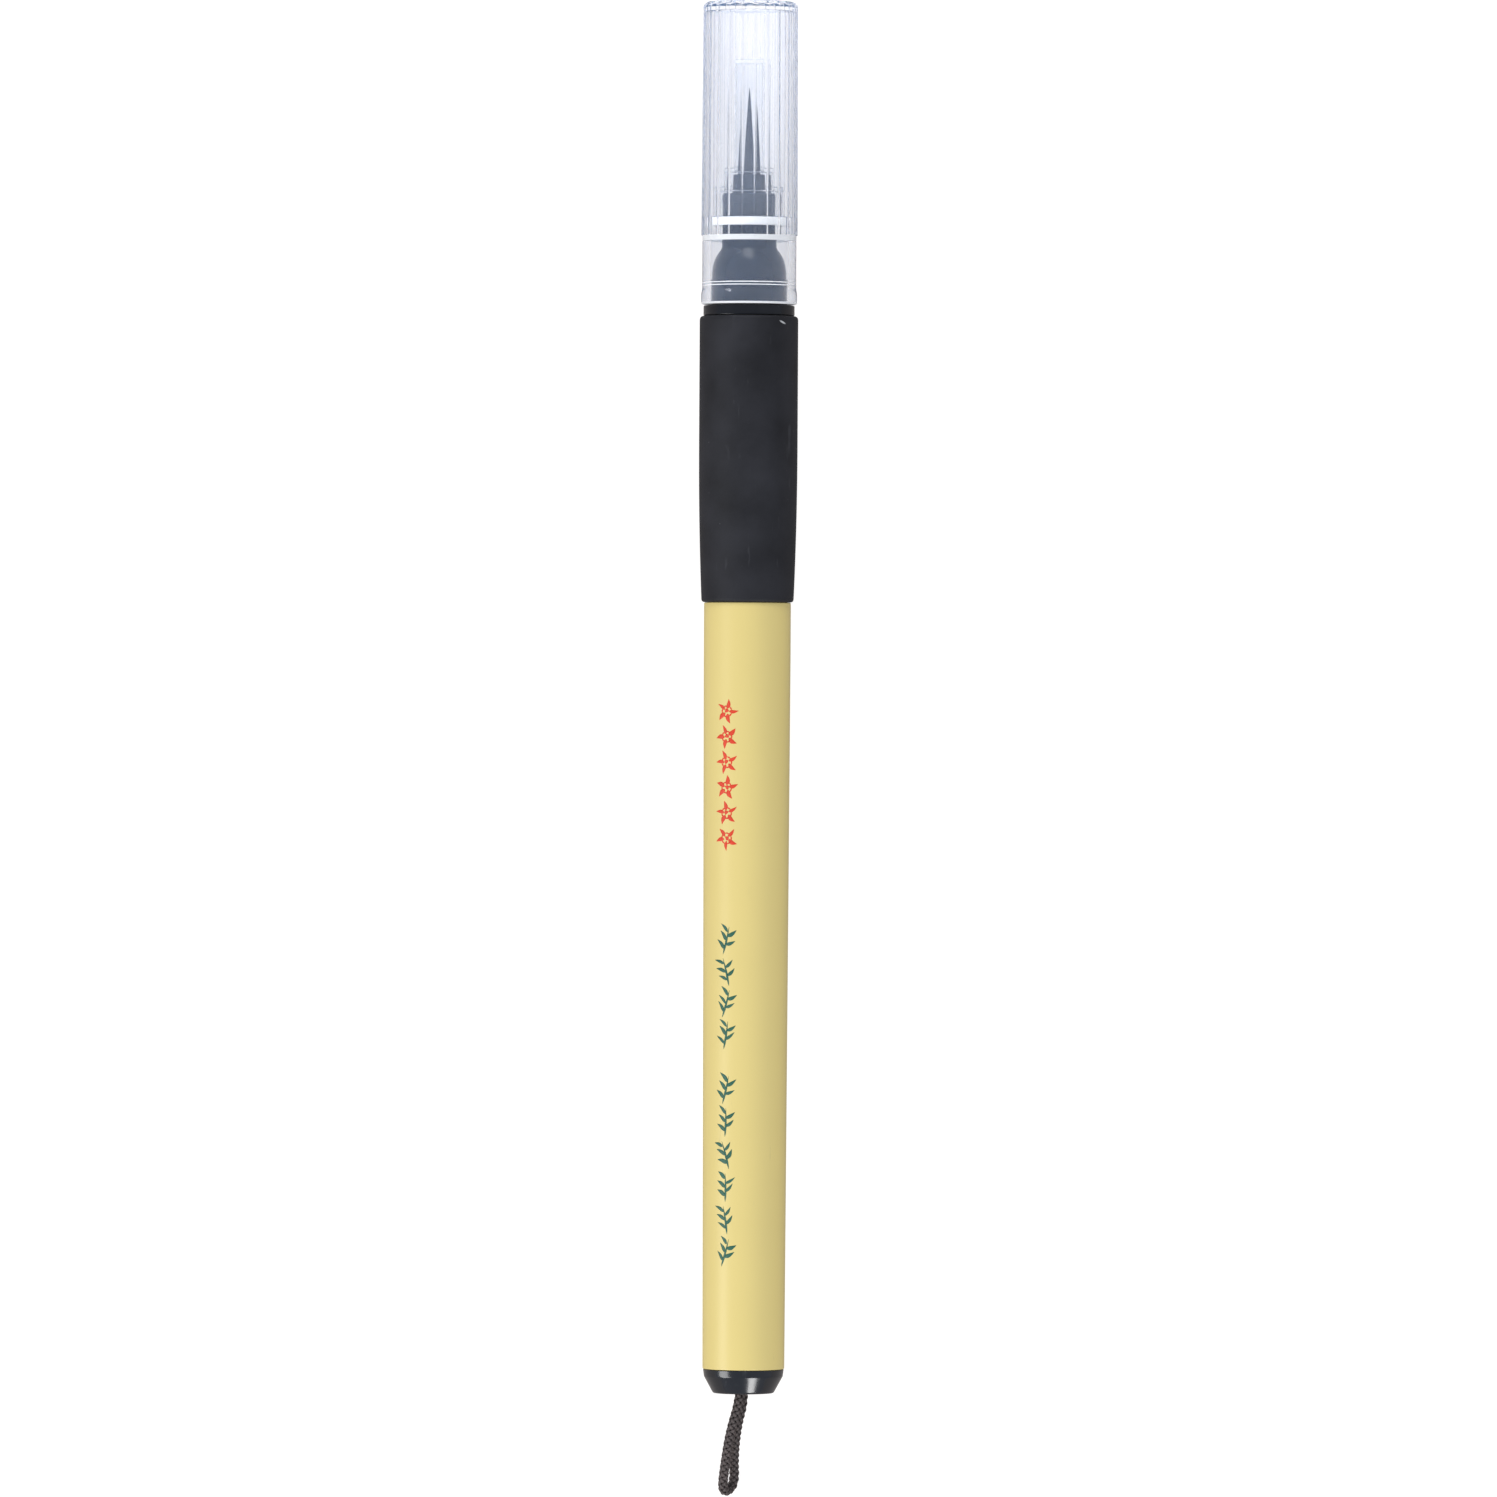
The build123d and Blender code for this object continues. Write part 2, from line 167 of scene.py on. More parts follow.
class Net:
    """A node tree, with short ways to add nodes and to join them."""

    def __init__(self, tree):
        self.tree = tree
        self.given = None

    def feed(self, socket, value):
        """Joins a value to a socket: a number, a colour, a node's first output or an output."""
        if isinstance(value, bpy.types.Node):
            value = value.outputs[0]
        if isinstance(value, bpy.types.NodeSocket):
            self.tree.links.new(value, socket)
        else:
            socket.default_value = value

    def add(self, kind, inputs=(), **settings):
        """Adds a node with its settings and inputs."""
        made = self.tree.nodes.new(kind)
        for name, value in settings.items():
            setattr(made, name, value)
        for key, value in dict(inputs).items():
            self.feed(made.inputs[key], value)
        return made

    def math(self, operation, *values):
        """One step of arithmetic."""
        return self.add("ShaderNodeMath", enumerate(values), operation=operation).outputs[0]

    def times(self, first, second):
        """Two numbers multiplied."""
        return self.math("MULTIPLY", first, second)

    def plus(self, first, second):
        """Two numbers added."""
        return self.math("ADD", first, second)

    def minus(self, first, second):
        """The second number taken from the first."""
        return self.math("SUBTRACT", first, second)

    def ratio(self, first, second):
        """The first number divided by the second."""
        return self.math("DIVIDE", first, second)

    def times_plus(self, first, second, third):
        """Two numbers multiplied and a third added."""
        return self.math("MULTIPLY_ADD", first, second, third)

    def sine(self, angle):
        """Sine of an angle."""
        return self.math("SINE", angle)

    def cosine(self, angle):
        """Cosine of an angle."""
        return self.math("COSINE", angle)

    def vector(self, operation, *values):
        """One step of vector arithmetic."""
        made = self.tree.nodes.new("ShaderNodeVectorMath")
        made.operation = operation
        for index, value in enumerate(values):
            self.feed(made.inputs["Scale" if operation == "SCALE" and index == 1 else index], value)
        return made.outputs["Value" if operation == "LENGTH" else "Vector"]

    def combine(self, x, y, z):
        """A vector from its three parts."""
        return self.add("ShaderNodeCombineXYZ", {"X": x, "Y": y, "Z": z}).outputs[0]

    def split(self, value):
        """The three parts of a vector."""
        return self.add("ShaderNodeSeparateXYZ", {0: value}).outputs

    def spread(self, value, low, high, new_low=0.0, new_high=1.0):
        """Maps a value from one range to another and holds it there."""
        limits = {1: low, 2: high, 3: new_low, 4: new_high}
        return self.add("ShaderNodeMapRange", {0: value, **limits}).outputs[0]

    def input(self, name):
        """One of the tree's own named inputs."""
        if self.given is None:
            self.given = self.tree.nodes.new("NodeGroupInput")
        return self.given.outputs[name]

    def attribute(self, name, kind="FLOAT"):
        """A named value that the mesh or curve carries."""
        made = self.add("GeometryNodeInputNamedAttribute", {"Name": name}, data_type=kind)
        return made.outputs["Attribute"]

    def store(self, geometry, name, value, kind="FLOAT", domain="POINT"):
        """Keeps a named value on a mesh or curve."""
        inputs = {"Geometry": geometry, "Name": name}
        made = self.add("GeometryNodeStoreNamedAttribute", inputs, data_type=kind, domain=domain)
        self.feed(next(s for s in made.inputs if s.name == "Value" and s.enabled), value)
        return made

    def moved(self, geometry, place):
        """A geometry with each point at its new place."""
        return self.add("GeometryNodeSetPosition", {"Geometry": geometry, "Position": place})

    def random(self, number, seed):
        """A number from 0 to 1 drawn for each whole number."""
        made = self.add("FunctionNodeRandomValue", {"ID": number, "Seed": seed}, data_type="FLOAT")
        return made.outputs[1]

    def carried(self, name):
        """A named number that the piece carries, for its surface."""
        return self.add("ShaderNodeAttribute", attribute_name=name).outputs["Fac"]

    def here(self):
        """The place on the piece, in metres."""
        return self.add("ShaderNodeTexCoord").outputs["Object"]

    def noise(self, place, scale, detail):
        """Soft noise about one half."""
        inputs = {"Vector": place, "Scale": scale, "Detail": detail}
        return self.add("ShaderNodeTexNoise", inputs).outputs[0]


def new_net(name, kind, inputs, outputs):
    """A new node group with named sockets, each given as name, type and default."""
    tree = bpy.data.node_groups.new(name, kind)
    for title, socket_type, default in inputs:
        socket = tree.interface.new_socket(title, in_out="INPUT", socket_type=socket_type)
        if default is not None:
            socket.default_value = default
    for title, socket_type in outputs:
        tree.interface.new_socket(title, in_out="OUTPUT", socket_type=socket_type)
    return Net(tree)


def finish_net(net, **results):
    """Joins the group's outputs."""
    out = net.tree.nodes.new("NodeGroupOutput")
    for name, value in results.items():
        net.feed(out.inputs[name.replace("_", " ")], value)
    return net.tree


def shared(make):
    """A node group that is made the first time it is asked for. It has its function's name."""
    return bpy.data.node_groups.get(make.__name__) or make()


def shape_net(name, inputs):
    """A Geometry Nodes tree with a geometry and a material among its inputs."""
    sockets = [("Geometry", GEOMETRY, None), *inputs, ("Material", "NodeSocketMaterial", None)]
    return new_net(name, "GeometryNodeTree", sockets, [("Geometry", GEOMETRY)])


def finish_shape(net, geometry):
    """Ends a Geometry Nodes tree: instances made real, smooth faces, the material on them."""
    real = net.add("GeometryNodeRealizeInstances", {"Geometry": geometry})
    smooth = net.add("GeometryNodeSetShadeSmooth", {"Geometry": real})
    coloured = net.add("GeometryNodeSetMaterial", {"Geometry": smooth, "Material": net.input("Material")})
    return finish_net(net, Geometry=coloured)


# ---- Shared surface effects ----


def moulded_surface():
    """Moulded plastic or rubber: a slow drift of tone and gloss, and a close grain."""
    inputs = [
        ("Colour", COLOUR, (0.5, 0.5, 0.5, 1)),
        ("Drift", FLOAT, 0.05),
        ("Drift Size", FLOAT, 0.006),
        ("Grain Size", FLOAT, 0.0001),
        ("Roughness", FLOAT, 0.4),
        ("Gloss Spread", FLOAT, 0.05),
    ]
    outputs = [("Colour", COLOUR), ("Roughness", FLOAT), ("Height", FLOAT)]
    net = new_net("moulded_surface", "ShaderNodeTree", inputs, outputs)
    place = net.here()
    slow = net.noise(place, net.ratio(1.0, net.input("Drift Size")), 4.0)
    close = net.noise(place, net.ratio(1.0, net.input("Grain Size")), 2.0)
    swing = net.minus(slow, 0.5)
    tone = net.times_plus(swing, net.input("Drift"), 1.0)
    colour = net.vector("SCALE", net.input("Colour"), tone)
    gloss = net.times_plus(swing, net.input("Gloss Spread"), net.input("Roughness"))
    return finish_net(net, Colour=colour, Roughness=gloss, Height=close)


def dust_and_scuffs():
    """Masks of fine dust specks and of short scuffs along the pen."""
    inputs = [
        ("Speck Spacing", FLOAT, 0.0012),
        ("Speck Share", FLOAT, 0.3),
        ("Scuff Spacing", FLOAT, 0.0008),
        ("Scuff Share", FLOAT, 0.3),
    ]
    net = new_net("dust_and_scuffs", "ShaderNodeTree", inputs, [("Specks", FLOAT), ("Scuffs", FLOAT)])
    speck_core, speck_rim = 0.03, 0.07
    scuff_stretch = (1.0, 0.12, 1.0)
    patches_per_metre = 260.0
    highest_level, level_drop, level_softness = 0.72, 0.2, 0.05
    place = net.here()
    speck_scale = net.ratio(1.0, net.input("Speck Spacing"))
    cells = net.add("ShaderNodeTexVoronoi", {"Vector": place, "Scale": speck_scale})
    chosen = net.math("LESS_THAN", net.split(cells.outputs["Color"])[0], net.input("Speck Share"))
    spot = net.spread(cells.outputs["Distance"], speck_core, speck_rim, 1.0, 0.0)
    drawn_out = net.add("ShaderNodeMapping", {"Vector": place, "Scale": scuff_stretch})
    streaks = net.noise(drawn_out, net.ratio(1.0, net.input("Scuff Spacing")), 5.0)
    patches = net.noise(place, patches_per_metre, 2.0)
    level = net.minus(highest_level, net.times(net.input("Scuff Share"), level_drop))
    worn = net.spread(streaks, level, net.plus(level, level_softness))
    scuffs = net.times(worn, net.spread(patches, 0.5, 0.62))
    return finish_net(net, Specks=net.times(chosen, spot), Scuffs=scuffs)


def strand_tone():
    """Tone from one hair or yarn to the next, fine fibres along it, painted shade where it passes under and
    a painted highlight where it rides over.
    """
    inputs = [
        ("Colour", COLOUR, (0.1, 0.1, 0.1, 1)),
        ("Spread", FLOAT, 0.5),
        ("Fibres Across", FLOAT, 9.0),
        ("Fibre Length", FLOAT, 0.002),
        ("Shade Under", FLOAT, 0.0),
    ]
    net = new_net("strand_tone", "ShaderNodeTree", inputs, [("Colour", COLOUR), ("Height", FLOAT)])
    fibre_stretch = 0.35
    strands_apart = 40.0
    fibre_part, strand_part, middle = 0.6, 0.8, 0.7
    own = net.carried("own")
    across = net.times(net.carried("round"), net.input("Fibres Across"))
    twist = net.ratio(net.carried("along"), net.input("Fibre Length"))
    place = net.combine(
        net.plus(across, twist), net.times(twist, fibre_stretch), net.times(own, strands_apart)
    )
    fibres = net.noise(place, 1.0, 3.0)
    mixed = net.times_plus(fibres, fibre_part, net.times(own, strand_part))
    tone = net.times_plus(net.minus(mixed, middle), net.input("Spread"), 1.0)
    # Painted shade where a yarn passes under another, and a painted highlight where it rides over
    shade = net.times_plus(net.carried("over"), net.input("Shade Under"), 1.0)
    tone = net.times(tone, shade)
    return finish_net(net, Colour=net.vector("SCALE", net.input("Colour"), tone), Height=fibres)


# ---- Materials ----


def new_material(name, **sockets):
    """A material with one Principled shader, and that shader's plain values."""
    material = bpy.data.materials.new(name)
    material.use_nodes = True
    net = Net(material.node_tree)
    shader = material.node_tree.nodes["Principled BSDF"]
    for socket, value in sockets.items():
        net.feed(shader.inputs[socket.replace("_", " ")], value)
    return material, net, shader


def placed_group(net, make, **values):
    """One use of a shared effect, with its own values."""
    made = net.add("ShaderNodeGroup", node_tree=shared(make))
    for name, value in values.items():
        net.feed(made.inputs[name.replace("_", " ")], value)
    return made.outputs


def lift(net, shader, height, distance):
    """Turns a height into the shader's normal. The distance is the height's full range in metres."""
    bump = net.add("ShaderNodeBump", {"Strength": 1.0, "Distance": distance, "Height": height})
    net.feed(shader.inputs["Normal"], bump)


def opaque(colour):
    """A colour with its alpha."""
    return (*colour, 1.0)


def mixed_colour(net, share, under, over):
    """One colour over another by a mask."""
    made = net.add("ShaderNodeMix", data_type="RGBA")
    net.feed(made.inputs[0], share)
    net.feed(made.inputs[6], under)
    net.feed(made.inputs[7], over)
    return made.outputs[2]


def moulded_material(name, colour, roughness, drift=0.05, grain=0.0001, relief=0.000002, dust=(), **sockets):
    """Moulded plastic or rubber, with dust as (speck share, scuff share, colour)."""
    material, net, shader = new_material(name, **sockets)
    surface = placed_group(
        net,
        moulded_surface,
        Colour=opaque(colour),
        Drift=drift,
        Grain_Size=grain,
        Roughness=roughness,
        Gloss_Spread=0.35 * roughness,
    )
    tone = surface["Colour"]
    gloss = surface["Roughness"]
    if dust:
        speck_share, scuff_share, dust_colour = dust
        scuff_cover, dust_cover, scuff_dulling = 0.35, 0.6, 0.15
        marks = placed_group(net, dust_and_scuffs, Speck_Share=speck_share, Scuff_Share=scuff_share)
        both = net.math("MAXIMUM", marks["Specks"], net.times(marks["Scuffs"], scuff_cover))
        tone = mixed_colour(net, net.times(both, dust_cover), tone, opaque(dust_colour))
        gloss = net.times_plus(marks["Scuffs"], scuff_dulling, gloss)
    net.feed(shader.inputs["Base Color"], tone)
    net.feed(shader.inputs["Roughness"], gloss)
    lift(net, shader, surface["Height"], relief)
    return material


def barrel_material():
    """Satin beige plastic with a soft orange peel and a little dust."""
    return moulded_material(
        "barrel_satin", colours().barrel, 0.34, drift=0.03, grain=0.00035, relief=0.000003,
        dust=(0.05, 0.25, (0.4, 0.36, 0.2)),
    )


def rubber_material():
    """Matt charcoal rubber with dust, scuffs, and one nick near its front edge."""
    material = moulded_material(
        "grip_rubber", colours().rubber, 0.6, drift=1.6, grain=0.00009, relief=0.000012,
        dust=(0.2, 0.5, (0.11, 0.11, 0.12)), Specular_IOR_Level=0.2,
    )
    net = Net(material.node_tree)
    shader = material.node_tree.nodes["Principled BSDF"]
    behind_front = 0.85
    turn = math.radians(43)
    lean = (0, 0, 0.5)
    spans = (0.0005, 0.00012, 0.0007)
    scraped = (0.6, 0.6, 0.6, 1)
    radius = outer_radius("grip_sleeve")
    nick = (
        radius * math.sin(turn) * MM,
        TAIL_Y + (ends("grip_sleeve")[1] - behind_front) * MM,
        AXIS_HEIGHT + radius * math.cos(turn) * MM,
    )
    offset = net.vector("SUBTRACT", net.here(), nick)
    away = net.add("ShaderNodeMapping", {"Vector": offset, "Rotation": lean})
    spot = net.vector("LENGTH", net.vector("MULTIPLY", away.outputs[0], tuple(1 / span for span in spans)))
    under = shader.inputs["Base Color"].links[0].from_socket
    share = net.spread(spot, 0.6, 1.1, 0.9, 0.0)
    net.feed(shader.inputs["Base Color"], mixed_colour(net, share, under, scraped))
    return material


def black_material():
    """Glossy black plastic of the nose, its collar and the ferrule."""
    return moulded_material(
        "black_plastic", colours().black, 0.2, drift=0.15, grain=0.0006, relief=0.0000006,
        dust=(0.03, 0.15, (0.05, 0.05, 0.06)), Specular_IOR_Level=0.33,
    )


def plug_material():
    """Glossy black plastic of the tail plug, with a drift of tone and fine rubbing."""
    return moulded_material(
        "plug_plastic", colours().black, 0.2, drift=0.4, grain=0.0005, relief=0.000004,
        dust=(0.08, 0.6, (0.12, 0.12, 0.13)), Coat_Weight=0.3, Coat_Roughness=0.12,
    )


def let_light_in(net, shader, tint):
    """Lets lamps and sky shine through clear plastic without shadow rays being stopped."""
    output = net.tree.nodes["Material Output"]
    path = net.add("ShaderNodeLightPath").outputs["Is Shadow Ray"]
    open_air = net.add("ShaderNodeBsdfTransparent", {"Color": tint})
    mix = net.add("ShaderNodeMixShader", {0: path, 1: shader.outputs[0], 2: open_air})
    net.feed(output.inputs["Surface"], mix)


PLASTIC_BENDING = 1.49


def clear_material(name, tint, roughness, clarity, haze, shadow_tint, bending=PLASTIC_BENDING):
    """Clear or milky moulded plastic with a faint bloom and flow marks, duller on its ridges."""
    material, net, shader = new_material(
        name,
        Base_Color=opaque(tint),
        Transmission_Weight=clarity,
        IOR=bending,
        Sheen_Weight=haze,
        Sheen_Roughness=1.0,
        Sheen_Tint=opaque(colours().haze),
    )
    ridge_dulling = 0.08
    flow_relief = 0.00000005
    surface = placed_group(
        net,
        moulded_surface,
        Drift_Size=0.003,
        Grain_Size=0.0016,
        Roughness=roughness,
        Gloss_Spread=roughness,
    )
    gloss = net.times_plus(net.carried("ridge"), ridge_dulling, surface["Roughness"])
    net.feed(shader.inputs["Roughness"], gloss)
    lift(net, shader, surface["Height"], flow_relief)
    let_light_in(net, shader, opaque(shadow_tint))
    return material


def cap_material():
    """Clear plastic of the outer cap."""
    return clear_material("cap_plastic", colours().clear, 0.02, 0.995, 0.1, (0.96, 0.97, 0.98))


def cup_material():
    """Slightly milky plastic of the inner cup. It bends light less, so its outline stays faint."""
    return clear_material("cup_plastic", colours().milky, 0.04, 0.98, 0.03, (0.94, 0.96, 0.98), bending=1.25)


def frosted_material(name, tint, clarity):
    """Thick or rubbed part of a clear moulding, which scatters the light and looks white: partly real
    frosting, partly a painted highlight that stands in for the bright lines refraction throws along such
    edges.
    """
    material, net, shader = new_material(name, Transmission_Weight=clarity, IOR=PLASTIC_BENDING)
    surface = placed_group(
        net, moulded_surface, Colour=opaque(tint), Drift=0.1, Drift_Size=0.001, Roughness=0.5
    )
    net.feed(shader.inputs["Base Color"], surface["Colour"])
    net.feed(shader.inputs["Roughness"], surface["Roughness"])
    lift(net, shader, surface["Height"], 0.000004)
    return material


def frost(piece, material, is_frosted):
    """Gives a second material to the faces that a test on (station, radius) in millimetres picks."""
    piece.data.materials.append(material)
    for face in piece.data.polygons:
        middle = face.center
        radius = math.hypot(middle.x, middle.z - AXIS_HEIGHT) / MM
        if is_frosted((middle.y - TAIL_Y) / MM, radius):
            face.material_index = 1


def strand_material(name, colour, roughness, spread, relief, fibre_length, under=0.0, **sockets):
    """Hair or yarn, with its own tone from strand to strand, painted shade where it passes under and a
    painted highlight where it rides over.
    """
    material, net, shader = new_material(name, Roughness=roughness, **sockets)
    tone = placed_group(
        net,
        strand_tone,
        Colour=opaque(colour),
        Spread=spread,
        Fibre_Length=fibre_length,
        Shade_Under=under,
    )
    net.feed(shader.inputs["Base Color"], tone["Colour"])
    lift(net, shader, tone["Height"], relief)
    return material


def ink_material(name, colour):
    """Printed ink on the barrel: thin, slightly uneven."""
    return moulded_material(name, colour, 0.4, drift=0.35, grain=0.0002, relief=0.000003)


def fibre_material(name, colour, stretch):
    """Pressed or wound fibre, drawn out along the pen where the stretch is small."""
    material, net, shader = new_material(name, Sheen_Weight=0.2, Sheen_Roughness=0.6)
    strands_per_metre = 9000.0
    drawn = net.add("ShaderNodeMapping", {"Vector": net.here(), "Scale": (1.0, stretch, 1.0)})
    strands = net.noise(drawn, strands_per_metre, 4.0)
    tone = net.times_plus(strands, 0.7, 0.6)
    net.feed(shader.inputs["Base Color"], net.vector("SCALE", tuple(colour), tone))
    net.feed(shader.inputs["Roughness"], net.times_plus(strands, 0.1, 0.8))
    lift(net, shader, strands, 0.00002)
    return material


def film_material():
    """Thin clear film round the wadding."""
    tint = (0.95, 0.97, 1.0, 1)
    material, net, shader = new_material("clear_film", Base_Color=tint, Transmission_Weight=0.95, IOR=1.45)
    surface = placed_group(net, moulded_surface, Grain_Size=0.002, Roughness=0.06, Gloss_Spread=0.04)
    net.feed(shader.inputs["Roughness"], surface["Roughness"])
    lift(net, shader, surface["Height"], 0.00001)
    let_light_in(net, shader, tint)
    return material


# ---- Turned pieces ----


def even_angles(count=None):
    """Angles once round the pen, evenly spaced, from the top towards +X."""
    count = count or sizes().steps_round
    return [2 * math.pi * index / count for index in range(count)]


def bow(start, control, end, steps=10):
    """Points of a bow from one corner to another that leaves and arrives towards the control corner."""
    points = []
    for index in range(steps + 1):
        t = index / steps
        parts = zip(start, control, end)
        points.append(tuple((1 - t) ** 2 * a + 2 * t * (1 - t) * b + t * t * c for a, b, c in parts))
    return points


# How much of a side one corner's bow may take, and how far past the bow the guard point stands
BOW_SHARE = 0.42
GUARD_REACH = 1.15


def rounded(corners, edge, closed):
    """Outline whose corners are each turned by a small bow. A corner's third number is its own edge.

    A point on each side of a bow keeps the long faces beside it straight.
    """
    count = len(corners)
    points = []
    for index, corner in enumerate(corners):
        here = Vector(corner[:2])
        size = corner[2] if len(corner) > 2 else edge
        if (not closed and index in (0, count - 1)) or size <= 0:
            points.append(tuple(here))
            continue
        before = Vector(corners[index - 1][:2]) - here
        after = Vector(corners[(index + 1) % count][:2]) - here
        reach = min(size, BOW_SHARE * before.length, BOW_SHARE * after.length)
        first = here + before.normalized() * reach
        last = here + after.normalized() * reach
        points.append(tuple(here + before.normalized() * reach * GUARD_REACH))
        points += bow(tuple(first), tuple(here), tuple(last), 4)
        points.append(tuple(here + after.normalized() * reach * GUARD_REACH))
    return points


def is_inside_out(vertices, faces):
    """Whether a closed shape's faces point inwards."""
    volume = 0.0
    for face in faces:
        first = Vector(vertices[face[0]])
        for second, third in zip(face[1:], face[2:]):
            volume += first.dot(Vector(vertices[second]).cross(Vector(vertices[third])))
    return volume < 0


SHARP_ANGLE = math.radians(40)
CAP_SHARP_ANGLE = math.radians(50)


def new_piece(name, vertices, faces, material=None):
    """A mesh piece in the scene, with smooth faces and its sharp edges kept."""
    mesh = bpy.data.meshes.new(name)
    mesh.from_pydata(vertices, [], faces)
    mesh.validate()
    mesh.polygons.foreach_set("use_smooth", [True] * len(mesh.polygons))
    mesh.set_sharp_from_angle(angle=SHARP_ANGLE)
    if material:
        mesh.materials.append(material)
    piece = bpy.data.objects.new(name, mesh)
    bpy.context.scene.collection.objects.link(piece)
    return piece


def turned(name, corners, material=None, edge=0.06, angles=None, on_axis=False):
    """Closed piece turned about the pen's axis from (station, radius) corners in millimetres.

    On the axis, the first and last corners are its two poles. Otherwise the outline closes on itself.
    """
    outline = rounded(corners, edge, closed=not on_axis)
    angles = angles or even_angles()
    rings = outline[1:-1] if on_axis else outline
    vertices = []
    for station, radius in rings:
        for angle in angles:
            across = radius * MM * math.sin(angle)
            up = radius * MM * math.cos(angle)
            vertices.append((across, TAIL_Y + station * MM, AXIS_HEIGHT + up))
    count = len(angles)
    faces = []
    for ring in range(len(rings) if not on_axis else len(rings) - 1):
        near = ring * count
        far = (ring + 1) % len(rings) * count
        for index in range(count):
            following = (index + 1) % count
            faces.append((near + index, near + following, far + following, far + index))
    if on_axis:
        for pole, start, turn in ((outline[0], 0, -1), (outline[-1], (len(rings) - 1) * count, 1)):
            vertices.append((0.0, TAIL_Y + pole[0] * MM, AXIS_HEIGHT))
            centre = len(vertices) - 1
            for index in range(count):
                pair = (start + index, start + (index + 1) % count)[::turn]
                faces.append((*pair, centre))
    if is_inside_out(vertices, faces):
        faces = [face[::-1] for face in faces]
    return new_piece(name, vertices, faces, material)


def grown(name, source, make, material, values):
    """Runs a Geometry Nodes tree on an object and keeps its result as a plain mesh piece."""
    tree = shared(make)
    modifier = source.modifiers.new(tree.name, "NODES")
    modifier.node_group = tree
    values = {"Material": material, **values}
    for item in tree.interface.items_tree:
        if item.item_type == "SOCKET" and item.in_out == "INPUT" and item.name in values:
            modifier[item.identifier] = values[item.name]
    graph = bpy.context.evaluated_depsgraph_get()
    mesh = bpy.data.meshes.new_from_object(
        source.evaluated_get(graph), preserve_all_data_layers=True, depsgraph=graph
    )
    source.modifiers.remove(modifier)
    bpy.data.objects.remove(source)
    if not mesh.polygons:
        raise RuntimeError(f"{name} came out empty")
    mesh.name = name
    piece = bpy.data.objects.new(name, mesh)
    bpy.context.scene.collection.objects.link(piece)
    return piece


def fit(piece, body, slot, *nodes):
    """Puts a finished piece on its body, in the place of the frame's own nodes."""
    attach(piece, body)
    if nodes:
        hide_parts(*nodes)


# ---- Barrel and its ornaments ----

# Sizes in millimetres that neighbouring pieces share
BARREL_TAIL_RADIUS = 4.94
BARREL_LAND_AT = 88.0
NECK_UNDER_GRIP = 4.62
BARREL_BORE = 3.9
SOCKET_BORE = 3.74
SOCKET_TAIL_AT = 112.5
SEALING_BORE = 2.38
FEED_BORE = 1.52
FERRULE_BORE = 1.72
FIT_GAP = 0.05


def make_barrel():
    """Drafted tube with a thin neck under the grip."""
    tail, front = ends("barrel_tube")
    shoulder = ends("grip_sleeve")[0] - FIT_GAP
    radius = outer_radius("barrel_tube")
    corners = [
        (tail, BARREL_TAIL_RADIUS, 0.12),
        (BARREL_LAND_AT, radius, 0),
        (shoulder, radius, 0.12),
        (shoulder, NECK_UNDER_GRIP),
        (front, NECK_UNDER_GRIP),
        (front, SOCKET_BORE),
        (SOCKET_TAIL_AT, SOCKET_BORE),
        (SOCKET_TAIL_AT, BARREL_BORE),
        (tail, BARREL_BORE),
    ]
    return turned("barrel", corners, barrel_material())


def ornament_dabs():
    """Geometry Nodes: one brush dab at each point of a flat sheet, then the sheet wrapped on the barrel."""
    net = shape_net(
        "ornament_dabs",
        [
            ("Thickness", FLOAT, 0.00002),
            ("Tail Radius", FLOAT, 0.005),
            ("Radius Growth", FLOAT, 0.0),
            ("Tail Station", FLOAT, 0.0),
            ("Turn", FLOAT, 0.0),
            ("Axis Height", FLOAT, 0.0),
        ],
    )
    block = net.add(
        "GeometryNodeMeshCube", {"Size": (1, 1, 1), "Vertices X": 5, "Vertices Y": 11, "Vertices Z": 2}
    )
    x, y, z = net.split(net.add("GeometryNodeInputPosition"))
    stroke = net.plus(y, 0.5)
    lean = net.math("POWER", stroke, 0.7)
    girth = net.times_plus(net.sine(net.times(lean, math.pi)), 0.94, 0.06)
    bend = net.times(net.sine(net.times(stroke, math.pi)), 0.22)
    dab = net.moved(block, net.combine(net.times_plus(x, girth, bend), y, z))
    turn = net.combine(0.0, 0.0, net.attribute("dab_turn"))
    scale = net.combine(net.attribute("dab_width"), net.attribute("dab_length"), net.input("Thickness"))
    dabs = net.add(
        "GeometryNodeInstanceOnPoints",
        {"Points": net.input("Geometry"), "Instance": dab, "Rotation": turn, "Scale": scale},
    )
    flat = net.add("GeometryNodeRealizeInstances", {"Geometry": dabs})
    across, along, height = net.split(net.add("GeometryNodeInputPosition"))
    from_tail = net.minus(along, net.input("Tail Station"))
    skin = net.times_plus(from_tail, net.input("Radius Growth"), net.input("Tail Radius"))
    angle = net.plus(net.ratio(across, skin), net.input("Turn"))
    radius = net.plus(skin, height)
    side = net.times(radius, net.sine(angle))
    up = net.times_plus(radius, net.cosine(angle), net.input("Axis Height"))
    return finish_shape(net, net.moved(flat, net.combine(side, along, up)))


def blossom(size, draw):
    """Five petals round a small heart and a stamen between each two.

    Each dab is (x, y, turn, width, length) about the middle.
    """
    petals = 5
    petal_at = 0.3 * size
    stamen_at = 0.2 * size
    dabs = [(0.0, 0.0, draw.uniform(0, 3), 0.16 * size, 0.2 * size)]
    first = draw.uniform(0, 2 * math.pi)
    for index in range(petals):
        angle = first + 2 * math.pi * index / petals + draw.uniform(-0.12, 0.12)
        turn = angle - math.pi / 2
        width = draw.uniform(0.13, 0.19) * size
        dabs.append((petal_at * math.cos(angle), petal_at * math.sin(angle), turn, width, 0.4 * size))
        between = angle + math.pi / petals
        x, y = stamen_at * math.cos(between), stamen_at * math.sin(between)
        dabs.append((x, y, between, 0.06 * size, 0.2 * size))
    return dabs


